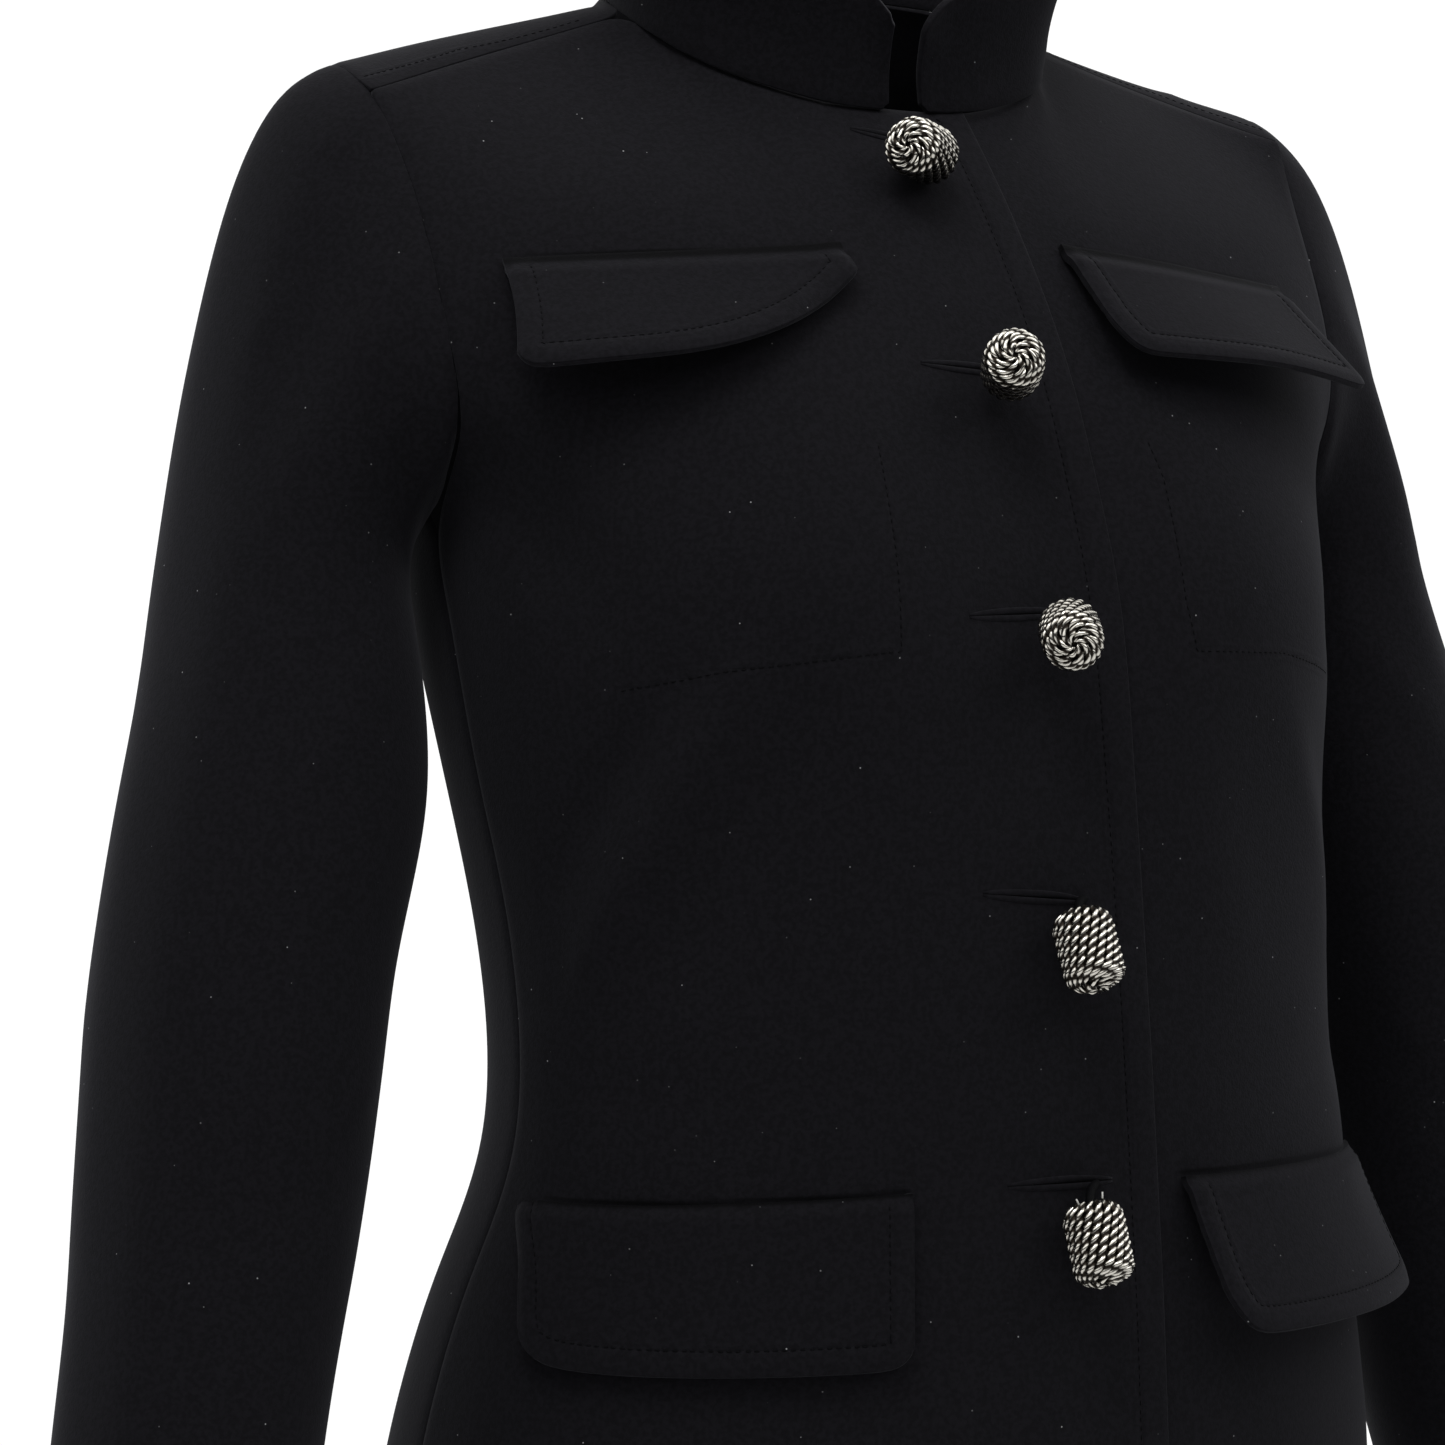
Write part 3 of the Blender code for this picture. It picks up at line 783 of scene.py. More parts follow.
@dataclass(frozen=True)
class WoolFinish:
    """Fine black wool crepe, matt, with a slight nap that lights up at grazing angles."""

    name: str = "black_wool"
    dark: tuple[float, float, float, float] = (0.0045, 0.0043, 0.0054, 1.0)
    light: tuple[float, float, float, float] = (0.0068, 0.0065, 0.0082, 1.0)
    # Painted shade: the near-black colour laid along the sewn ditches.
    painted_shade: tuple[float, float, float, float] = (0.0006, 0.0006, 0.0008, 1.0)
    lint: tuple[float, float, float, float] = (0.34, 0.34, 0.35, 1.0)
    roughness: float = 0.86
    gloss: float = 0.055
    nap: float = 0.065
    nap_roughness: float = 0.45
    nap_tint: tuple[float, float, float, float] = (0.62, 0.63, 0.70, 1.0)
    thread: float = 0.6 * MM
    relief: float = 0.22 * MM
    shades: tuple[float, float] = (0.35, 0.65)

    def build(self) -> bpy.types.Material:
        """Makes the material.

        Returns:
            The material.
        """
        made, nodes, shader, place = new_finish(self.name)
        crepe = nodes.add("ShaderNodeGroup", node_tree=CrepeGroup.tree())
        given = {"Vector": place, "Thread": self.thread}
        given |= {"Stitch": nodes.stored("stitch_line"), "Ditch": nodes.stored("ditch")}
        for name, value in given.items():
            nodes.join(value, crepe.inputs[name])
        cloth = nodes.blend(nodes.ramp(crepe.outputs["Shade"], *self.shades), self.dark, self.light)
        # Painted shadow: the colour darkens to near black along each flap's top seam, in the sewn ditch.
        cloth = nodes.blend(crepe.outputs["Shadow"], cloth, self.painted_shade)
        colour = nodes.blend(crepe.outputs["Lint"], cloth, self.lint)
        bump = nodes.add("ShaderNodeBump", {"Distance": self.relief, "Height": crepe.outputs["Height"]})
        nodes.join(colour, shader.inputs["Base Color"])
        nodes.join(bump.outputs["Normal"], shader.inputs["Normal"])
        shader.inputs["Roughness"].default_value = self.roughness
        shader.inputs["Specular IOR Level"].default_value = self.gloss
        shader.inputs["Sheen Weight"].default_value = self.nap
        shader.inputs["Sheen Roughness"].default_value = self.nap_roughness
        shader.inputs["Sheen Tint"].default_value = self.nap_tint
        return made


@dataclass(frozen=True)
class SilverFinish:
    """Cast metal, bright on the strands, with painted shade that darkens it under and between them, and
    random wear.
    """

    name: str = "dark_silver"
    bright: tuple[float, float, float, float] = (0.64, 0.615, 0.555, 1.0)
    black: tuple[float, float, float, float] = (0.022, 0.018, 0.014, 1.0)
    polish: float = 0.15
    dull: float = 0.60
    wear_scale: float = 900.0
    wear: tuple[float, float, float, float] = (0.3, 0.8, -0.12, 0.16)
    shade_and_wear_range: tuple[float, float] = (0.10, 0.62)
    dulled: tuple[float, float] = (0.1, 0.9)

    def build(self) -> bpy.types.Material:
        """Makes the material.

        Returns:
            The material.
        """
        made, nodes, shader, place = new_finish(self.name)
        wear = nodes.ramp(nodes.noise(place, self.wear_scale, 3.0), *self.wear)
        # Painted shade from the hollow mark, plus random wear, darkens the colour; both also dull the metal.
        wear_and_painted_shade = nodes.maths("ADD", nodes.stored("hollow"), wear)
        colour = nodes.blend(nodes.ramp(wear_and_painted_shade, *self.shade_and_wear_range), self.bright, self.black)
        nodes.join(colour, shader.inputs["Base Color"])
        nodes.join(nodes.ramp(wear_and_painted_shade, *self.dulled, self.polish, self.dull), shader.inputs["Roughness"])
        shader.inputs["Metallic"].default_value = 1.0
        return made


@dataclass(frozen=True)
class ThreadFinish:
    """Sewing thread of one colour."""

    name: str
    colour: tuple[float, float, float, float]
    roughness: float = 0.7
    gloss: float = 0.05
    fibre_scale: float = 2400.0
    darkening: float = 0.45
    relief: float = 0.1 * MM

    def build(self) -> bpy.types.Material:
        """Makes the material.

        Returns:
            The material.
        """
        made, nodes, shader, place = new_finish(self.name)
        twist = nodes.noise(place, self.fibre_scale, 2.0)
        darker = tuple(self.darkening * value for value in self.colour[:3]) + (1.0,)
        nodes.join(nodes.blend(twist, darker, self.colour), shader.inputs["Base Color"])
        bump = nodes.add("ShaderNodeBump", {"Distance": self.relief, "Height": twist})
        nodes.join(bump.outputs["Normal"], shader.inputs["Normal"])
        shader.inputs["Roughness"].default_value = self.roughness
        shader.inputs["Specular IOR Level"].default_value = self.gloss
        return made


@dataclass
class Finishes:
    """Every material of the jacket, made once."""

    wool: bpy.types.Material = field(default_factory=lambda: WoolFinish().build())
    metal: bpy.types.Material = field(default_factory=lambda: SilverFinish().build())
    thread: bpy.types.Material = field(
        default_factory=lambda: ThreadFinish("black_thread", (0.0024, 0.0024, 0.0030, 1.0)).build()
    )
    pale_thread: bpy.types.Material = field(
        default_factory=lambda: ThreadFinish("pale_thread", (0.85, 0.84, 0.80, 1.0)).build()
    )
    shadow: bpy.types.Material = field(
        default_factory=lambda: ThreadFinish("slit_black", (0.0022, 0.0022, 0.0024, 1.0), 0.9, 0.02).build()
    )


@dataclass
class Stitching:
    """A row of small sewn stitches that sit in the cloth along a line."""

    name: str
    gap: float = 3.1 * MM
    length: float = 2.1 * MM
    thread: float = 0.24 * MM
    proud: float = 0.2
    sides: int = 6
    rings: int = 4

    def build(self, surface: BVHTree, lines: list[Line], finishes: Finishes) -> None:
        """Sews every line.

        Args:
            surface: The cloth's search tree.
            lines: The lines to sew along.
            finishes: The jacket's materials.
        """
        shape = bmesh.new()
        size = Matrix.Diagonal((self.length / 2.0, self.thread, self.thread, 1.0))
        for line in lines:
            for place, way in line.spaced(self.gap, self.gap / 2.0):
                on, normal = surface.find_nearest(place)[:2]
                way = (way - normal * way.dot(normal)).normalized()
                turn = Matrix((way, normal.cross(way), normal)).transposed().to_4x4()
                place_here = Matrix.Translation(on + normal * self.proud * self.thread)
                bmesh.ops.create_uvsphere(
                    shape, u_segments=self.sides, v_segments=self.rings, radius=1.0,
                    matrix=place_here @ turn @ size,
                )
        hand_over(new_piece(self.name, shape, finishes.thread))


def laid_line(surface: BVHTree, corners: list[tuple[float, float, float]], step: float = 2.0 * MM) -> Line:
    """A line on the cloth between corners that lie near it.

    Args:
        surface: The cloth's search tree.
        corners: Points near the cloth, in order.
        step: How far apart the points are that are laid on the cloth.

    Returns:
        The line.
    """
    points = []
    for one, other in zip(corners, corners[1:]):
        start, end = Vector(one), Vector(other)
        count = max(1, round((end - start).length / step))
        points += [surface.find_nearest(start.lerp(end, k / count))[0] for k in range(count)]
    points.append(surface.find_nearest(Vector(corners[-1]))[0])
    return Line(points)


def inset_line(
    surface: BVHTree, edge: list[Vector], middle: Vector, amount: float, nearest: float = 0.93
) -> Line:
    """A line that runs beside an edge of the cloth.

    Args:
        surface: The cloth's search tree.
        edge: The edge's points, in order.
        middle: A point on the side of the edge that the cloth lies on.
        amount: The distance from the edge.
        nearest: The least share of it that is kept, which trims the line inside a corner.

    Returns:
        The line.
    """
    near = Points(edge)
    found = []
    for k, point in enumerate(edge):
        way = edge[min(k + 2, len(edge) - 1)] - edge[max(k - 2, 0)]
        normal = surface.find_nearest(point)[1]
        side = normal.cross(way).normalized()
        if side.dot(middle - point) < 0.0:
            side.negate()
        place = surface.find_nearest(point + side * amount)[0]
        if near.tree.find(place)[2] > nearest * amount:
            found.append(place)
    return Line(found)


@dataclass(frozen=True)
class Buttonhole:
    """One worked buttonhole: a slit across the front between two rolled lips."""

    name: str
    start: tuple[float, float]
    end: tuple[float, float]
    lip: float = 1.15 * MM
    rise: float = 0.62 * MM
    mouth: float = 0.55 * MM
    lower_mouth: float = 0.45
    slit: float = 0.12 * MM
    slit_share: float = 0.9
    slit_lift: float = 0.05 * MM
    lip_ends: tuple[float, float] = (0.02, 0.35)
    slit_ends: tuple[float, float] = (0.03, 0.4)
    mouth_ends: float = 0.5
    steps: int = 18
    lip_sides: int = 10
    slit_sides: int = 6

    def build(self, surface: BVHTree, finishes: Finishes) -> None:
        """Adds the lips in wool and, between them, a dark tube in the slit as painted shade.

        Args:
            surface: The right front's search tree.
            finishes: The jacket's materials.
        """
        shares = [k / self.steps for k in range(self.steps + 1)]
        middle, normals, ups = self._row(surface, shares)
        tapers = self._tapers(shares, *self.lip_ends)
        wide = [self.lip * taper for taper in tapers]
        high = [self.rise * taper for taper in tapers]
        shape = bmesh.new()
        for sign, bulge in ((1.0, 1.0), (-1.0, self.lower_mouth)):
            path = []
            for place, up, share, taper in zip(middle, ups, shares, tapers):
                part = self.lip + self.mouth * bulge * share * math.sin(math.pi * share) ** self.mouth_ends
                path.append(place + up * sign * part * taper)
            sweep(shape, tube_rings(path, normals, wide, high, self.lip_sides))
        lips = new_piece(self.name + "_lips", shape, finishes.wool)
        mark_plain(lips)
        # Painted shade: a near-black tube fills the slit between the lips.
        shape = bmesh.new()
        path = [place + normal * self.slit_lift for place, normal in zip(middle, normals)]
        wide = [self.lip * self.slit_share * end for end in self._tapers(shares, *self.slit_ends)]
        sweep(shape, tube_rings(path, normals, wide, [self.slit] * len(path), self.slit_sides))
        gap = new_piece(self.name + "_slit", shape, finishes.shadow)
        for part in (lips, gap):
            hand_over(part)

    @staticmethod
    def _tapers(shares: list[float], least: float, power: float) -> list[float]:
        """How full a tube is along the slit, with rounded ends.

        Args:
            shares: How far along the slit each point is, from 0 to 1.
            least: The share that both ends are taken at.
            power: The lower it is, the blunter the ends.

        Returns:
            One value a point, at most 1.
        """
        return [math.sin(math.pi * min(max(share, least), 1.0 - least)) ** power for share in shares]

    def _row(self, surface: BVHTree, shares: list[float]) -> tuple[list[Vector], list[Vector], list[Vector]]:
        """The slit's middle line on the cloth.

        Args:
            surface: The right front's search tree.
            shares: How far along the slit each point is, from 0 to 1.

        Returns:
            The points, the cloth's normals there, and the ways up across the slit.
        """
        middle, normals, ups = [], [], []
        (x0, z0), (x1, z1) = self.start, self.end
        for share in shares:
            place, normal = cast_back(surface, x0 + (x1 - x0) * share, z0 + (z1 - z0) * share)
            middle.append(place)
            normals.append(normal)
        for k, normal in enumerate(normals):
            way = middle[min(k + 1, self.steps)] - middle[max(k - 1, 0)]
            up = normal.cross(way).normalized()
            ups.append(up if up.z > 0.0 else -up)
        return middle, normals, ups


@dataclass
class FrontPanel:
    """One front: its turned front edge, hem, pocket stitching and folds."""

    side: Side
    wall: float = 1.8 * MM
    edge_fold: float = 11.5 * MM
    hem_fold: float = 26.0 * MM
    fold_rise: float = 0.5 * MM
    fold_step: float = 3 * MM
    hem_step: float = 5 * MM
    hem_depth: float = 6 * MM
    lap_start: float = -0.020
    far_side: float = 9.0
    edge_stride: int = 4
    hem_stride: int = 6
    seam_reach: float = 0.45 * MM
    seam_sink: float = 0.55 * MM
    seam_width: float = 3.5 * MM
    wave: float = 60 * MM
    uneven: float = 0.5 * MM
    edge_round: float = 0.5 * MM
    flat: tuple[float, float] = (0.30, 0.62)
    ease_in: float = 1.02
    levels: int = 3
    shared: tuple[Crease, ...] = (
        Crease((0.178, -0.064, -0.200), (0.150, -0.104, -0.262), 15 * MM, 3.0 * MM, Curve.TROUGH),
        Crease((0.150, -0.100, -0.398), (0.100, -0.150, -0.412), 11 * MM, 1.2 * MM),
        Crease((0.158, -0.095, -0.424), (0.118, -0.138, -0.432), 10 * MM, 1.1 * MM, Curve.TROUGH),
        Crease((0.172, -0.060, -0.150), (0.132, -0.090, -0.205), 12 * MM, 1.0 * MM),
        Crease((0.100, -0.160, -0.560), (0.110, -0.165, -0.640), 22 * MM, 1.4 * MM),
        Crease((0.160, -0.100, -0.560), (0.175, -0.110, -0.640), 20 * MM, 1.4 * MM, Curve.TROUGH),
    )
    right_only: tuple[Crease, ...] = (
        Crease((0.118, -0.143, -0.286), (0.1545, -0.105, -0.385), 9.5 * MM, 5.2 * MM),
        Crease((0.137, -0.126, -0.290), (0.167, -0.092, -0.360), 10 * MM, 3.0 * MM, Curve.TROUGH),
        Crease((0.098, -0.153, -0.300), (0.137, -0.125, -0.395), 13 * MM, 3.2 * MM, Curve.TROUGH),
        Crease((0.060, -0.166, -0.335), (0.090, -0.158, -0.430), 20 * MM, 0.8 * MM),
    )
    left_only: tuple[Crease, ...] = (
        Crease((0.110, -0.150, -0.300), (0.146, -0.118, -0.372), 12 * MM, 1.2 * MM),
        Crease((0.060, -0.166, -0.300), (0.085, -0.160, -0.420), 18 * MM, 0.8 * MM),
    )

    def build(self, frame: dict, finishes: Finishes) -> Cloth:
        """Builds the panel.

        Args:
            frame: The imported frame.
            finishes: The jacket's materials.

        Returns:
            The finished cloth.
        """
        name = "front_" + self.side.name.lower()
        cloth = Cloth(name + "_cloth", frame["nodes"][name], TRUNK, self.levels)
        front, hem, seams = self._sorted_edges(cloth.borders()[0])
        cloth.reach(self.seam_reach)
        cloth.push(self._folds(cloth, front, hem, seams))
        surface = cloth.surface()
        lines = [laid_line(surface, list(POCKET_LINES[self.side]))]
        outer_side = Vector((self.far_side * self.side.value, 0.0, 0.0))
        edge_row = inset_line(surface, front.points[:: self.edge_stride], outer_side, self.edge_fold)
        sewn = lines + [edge_row, self._hem_line(hem, surface)]
        tops = [flap.seam_line(surface) for flap in FLAPS if flap.side is self.side]
        # The ditch mark tells the material where to paint shade along each flap's top seam.
        for mark_name, marked in (("stitch_line", sewn), ("ditch", tops)):
            away = np.minimum.reduce([line.distances(cloth.points) for line in marked])
            cloth.mark(mark_name, away / MM)
        if self.side is Side.RIGHT:
            lines.append(edge_row)
            for hole in BUTTONHOLES:
                hole.build(surface, finishes)
        Stitching(name + "_stitches").build(surface, lines, finishes)
        cloth.finish(finishes.wool, self.wall, self.edge_round)
        return cloth

    def _folds(self, cloth: Cloth, front: Points, hem: Points, seams: Points) -> np.ndarray:
        """How far the folds, the turned edges and the seams move the cloth.

        Args:
            cloth: The panel's cloth.
            front: Its front edge.
            hem: Its lower edge.
            seams: Its other edges.

        Returns:
            One distance a point.
        """
        own = self.right_only if self.side is Side.RIGHT else self.left_only
        folds = sum(crease.push(cloth.points, self.side.value) for crease in self.shared + own)
        folds += unevenness(cloth.points, self.wave, self.uneven)
        folds += self.fold_rise * ease((self.edge_fold - front.distances(cloth.points)) / self.fold_step)
        folds += self.fold_rise * ease((self.hem_fold - hem.distances(cloth.points)) / self.hem_step)
        folds -= self.seam_sink * (1.0 - ease(seams.distances(cloth.points) / self.seam_width))
        return folds

    def _sorted_edges(self, run: list[Vector]) -> tuple[Line, Line, Points]:
        """Parts the panel's border.

        Args:
            run: The border's points.

        Returns:
            The front edge, the hem, and the seams.
        """
        lap = [p for p in run if p.x * self.side.value < self.lap_start]
        low = min(p.z for p in run)
        hem = [p for p in run if p.z < low + self.hem_depth]
        chosen = {tuple(p) for p in lap + hem}
        seams = [p for p in run if tuple(p) not in chosen]
        lap.sort(key=lambda p: p.z)
        hem.sort(key=lambda p: p.x)
        return Line(lap), Line(hem), Points(seams)

    def _hem_line(self, hem: Line, surface: BVHTree) -> Line:
        """The faint line above the edge, where the turned hem is caught down inside."""
        up = Vector((0.0, 0.0, self.hem_fold))
        return Line([surface.find_nearest(point + up)[0] for point in hem.points[:: self.hem_stride]])


@dataclass
class Flap:
    """A pocket flap: a lined, turned piece that hangs from its seam, topstitched inside its edge."""

    node: str
    side: Side
    flat: tuple[float, float]
    seam_ends: tuple[tuple[float, float], tuple[float, float]]
    creases: tuple[Crease, ...] = ()
    wall: float = 2.6 * MM
    topstitch: float = 9.0 * MM
    roll: float = 1.25 * MM
    roll_back: float = 0.52
    roll_inset: float = 0.45
    roll_end: float = 0.35
    roll_taper: float = 4.0
    roll_sides: int = 10
    roll_stride: int = 3
    row_stride: int = 2
    wave: float = 45 * MM
    uneven: float = 0.45 * MM
    edge_sink: float = 0.55 * MM
    edge_sink_width: float = 3.0 * MM
    welt: float = 0.30 * MM
    welt_inset: float = 5.0 * MM
    welt_width: float = 2.5 * MM
    seam_sink: float = 1.9 * MM
    seam_sink_width: float = 6.0 * MM
    seam_points: int = 25
    seam_trim: float = 0.01
    seam_lift: float = 0.4 * MM
    seam_zone: float = 2.0 * MM
    ditch_start: float = 0.2
    middle_rise: float = 0.012
    far_pull: float = 0.0
    pull_length: float = 0.050
    pull_aim: float = 0.030
    corner_slope: float = 0.2
    level_weight: float = 3.0
    edge_round: float = 0.7 * MM
    ease_in: float = 1.02
    levels: int = 3

    def build(self, frame: dict, finishes: Finishes) -> None:
        """Builds the flap with its rolled edge and its stitching.

        Args:
            frame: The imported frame.
            finishes: The jacket's materials.
        """
        cloth = Cloth(self.node + "_cloth", frame["nodes"][self.node], TRUNK, self.levels)
        self._pull_far_corner(cloth)
        free = self._free_edge(cloth.borders()[0])
        below = self._seam_height(cloth.points[:, 0]) - cloth.points[:, 2]
        cloth.push(self._folds(cloth, Points(free), below))
        # The ditch mark tells the material where to paint shade on the flap just below its top seam.
        cloth.mark("ditch", np.maximum(below, 0.0) / MM + self.ditch_start)
        surface = cloth.surface()
        middle = sum(free, Vector()) / len(free) + Vector((0.0, 0.0, self.middle_rise))
        row = inset_line(surface, free[:: self.row_stride], middle, self.topstitch)
        cloth.mark("stitch_line", row.distances(cloth.points) / MM)
        Stitching(self.node + "_stitches").build(surface, [row], finishes)
        self._rolled_edge(surface, free[:: self.roll_stride], middle, finishes)
        cloth.finish(finishes.wool, self.wall, self.edge_round)

    def _folds(self, cloth: Cloth, edge: Points, below: np.ndarray) -> np.ndarray:
        """How far the folds, the turned edge and the seam move the cloth.

        Args:
            cloth: The flap's cloth.
            edge: Its free edge.
            below: How far below the seam each point lies.

        Returns:
            One distance a point.
        """
        folds = unevenness(cloth.points, self.wave, self.uneven)
        for crease in self.creases:
            folds += crease.push(cloth.points, self.side.value, across=True)
        far = edge.distances(cloth.points)
        folds -= self.edge_sink * (1.0 - ease(far / self.edge_sink_width))
        folds += self.welt * np.exp(-(((far - self.welt_inset) / self.welt_width) ** 2))
        folds -= self.seam_sink * (1.0 - ease(below / self.seam_sink_width))
        return folds

    def _pull_far_corner(self, cloth: Cloth) -> None:
        """Slides the far top corner along the flap towards its near end.

        Args:
            cloth: The flap's cloth.
        """
        points = cloth.points
        out = points[:, 0] * self.side.value
        far = np.argmax(out + self.corner_slope * points[:, 2])
        level = np.abs(points[:, 2] - points[far, 2])
        near = np.argmin(np.abs(out - out[far] + self.pull_aim) + self.level_weight * level)
        way = (points[near] - points[far]) / np.linalg.norm(points[near] - points[far])
        below = np.clip((points[far, 2] - points[:, 2]) / self.pull_length, 0.0, 1.0)
        share = ease(1.0 - (out[far] - out) / self.pull_length) * (1.0 - ease(below))
        cloth.move(way * (self.far_pull * share)[:, None])

    def _seam_height(self, x: np.ndarray | float) -> np.ndarray | float:
        """How high the top seam runs at a distance along X."""
        (x0, z0), (x1, z1) = self.seam_ends
        return z0 + (z1 - z0) * (x * self.side.value - x0) / (x1 - x0)

    def seam_line(self, surface: BVHTree) -> Line:
        """The line on a front panel where the flap is sewn on.

        Args:
            surface: The front panel's search tree.

        Returns:
            The line, without what would lie past the panel's edge.
        """
        (x0, _), (x1, _) = self.seam_ends
        found = []
        for k in range(self.seam_points):
            share = self.seam_trim + (1.0 - 2.0 * self.seam_trim) * k / (self.seam_points - 1)
            x = self.side.value * (x0 + (x1 - x0) * share)
            found.append(cast_back(surface, x, self._seam_height(x) + self.seam_lift)[0])
        return Line([spot for spot in found if spot is not None])

    def _free_edge(self, run: list[Vector]) -> list[Vector]:
        """The border without its seam.

        Args:
            run: The border's points, with the first again at the end.

        Returns:
            The points from one end of the seam round to the other.
        """

        def on_seam(point: Vector) -> bool:
            """Whether a point lies along the top seam."""
            return point.z > self._seam_height(point.x) - self.seam_zone

        loop = run[:-1]
        start = next(k for k in range(len(loop)) if on_seam(loop[k - 1]) and not on_seam(loop[k]))
        turned = loop[start:] + loop[:start]
        return [point for point in turned if not on_seam(point)]

    def _rolled_edge(self, surface: BVHTree, edge: list[Vector], middle: Vector, finishes: Finishes) -> None:
        """Adds the soft roll of the turned edge, which shows below and beside the face.

        Args:
            surface: The flap's search tree.
            edge: The free edge's points in order.
            middle: The flap's middle.
            finishes: The jacket's materials.
        """
        path, outs, sizes = [], [], []
        last = len(edge) - 1
        for k, point in enumerate(edge):
            on, normal = surface.find_nearest(point)[:2]
            inward = (middle - on).normalized()
            path.append(on - normal * self.wall * self.roll_back + inward * self.roll_inset * self.roll)
            outs.append(normal)
            full = min(1.0, self.roll_taper * min(k, last - k) / last)
            sizes.append(self.roll * (self.roll_end + (1.0 - self.roll_end) * full))
        shape = bmesh.new()
        sweep(shape, tube_rings(path, outs, sizes, sizes, self.roll_sides))
        piece = new_piece(self.node + "_edge", shape, finishes.wool)
        mark_plain(piece)
        hand_over(piece)


@dataclass
class PlainCloth:
    """The back, the sleeves and the collar: a sheet with folds and sunk seams."""

    node: str
    core: tuple[Vector, Vector]
    wall: float
    levels: int
    flat: tuple[float, float]
    creases: tuple[Crease, ...] = ()
    mirror: int = 1
    reach: float = 0.45 * MM
    sink: float = 0.5 * MM
    sink_width: float = 3.5 * MM
    wave: float = 60 * MM
    uneven: float = 0.5 * MM
    edge_round: float = 0.5 * MM
    open_end: float = -0.600
    seam_lines: tuple[tuple[tuple[float, float, float], ...], ...] = ()
    right_slide: tuple[float, float] = (0.0, 0.0)
    left_slide: tuple[float, float] = (0.0, 0.0)
    slide_foot: float = -0.080
    slide_rise: float = 0.032
    slide_width: float = 0.055

    def build(self, frame: dict, finishes: Finishes) -> None:
        """Builds the piece.

        Args:
            frame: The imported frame.
            finishes: The jacket's materials.
        """
        cloth = Cloth(self.node + "_cloth", frame["nodes"][self.node], self.core, self.levels)
        border = Points([point for run in cloth.borders() for point in run if point.z > self.open_end])
        cloth.reach(self.reach)
        cloth.move(self._end_slides(cloth.points))
        folds = unevenness(cloth.points, self.wave, self.uneven)
        for crease in self.creases:
            folds += crease.push(cloth.points, self.mirror)
        folds -= self.sink * (1.0 - ease(border.distances(cloth.points) / self.sink_width))
        cloth.push(folds)
        surface = cloth.surface()
        lines = [laid_line(surface, list(corners)) for corners in self.seam_lines]
        mark_plain(cloth.piece)
        if lines:
            marks = [line.distances(cloth.points) / MM for line in lines]
            cloth.mark("stitch_line", np.minimum.reduce(marks))
            Stitching(self.node + "_stitches").build(surface, lines, finishes)
        cloth.finish(finishes.wool, self.wall, self.edge_round)

    def _end_slides(self, points: np.ndarray) -> np.ndarray:
        """How the collar's two front ends slide along X, at their foot and at their top.

        Args:
            points: The cloth's points, one a row.

        Returns:
            One step a point.
        """
        rise = np.clip((points[:, 2] - self.slide_foot) / self.slide_rise, 0.0, 1.0)
        near = (1.0 - ease(np.abs(points[:, 0]) / self.slide_width)) * (points[:, 1] < 0.0)
        right = self.right_slide[0] + (self.right_slide[1] - self.right_slide[0]) * rise
        left = self.left_slide[0] + (self.left_slide[1] - self.left_slide[0]) * rise
        steps = np.zeros_like(points)
        steps[:, 0] = np.where(points[:, 0] < 0.0, right, left) * near
        return steps


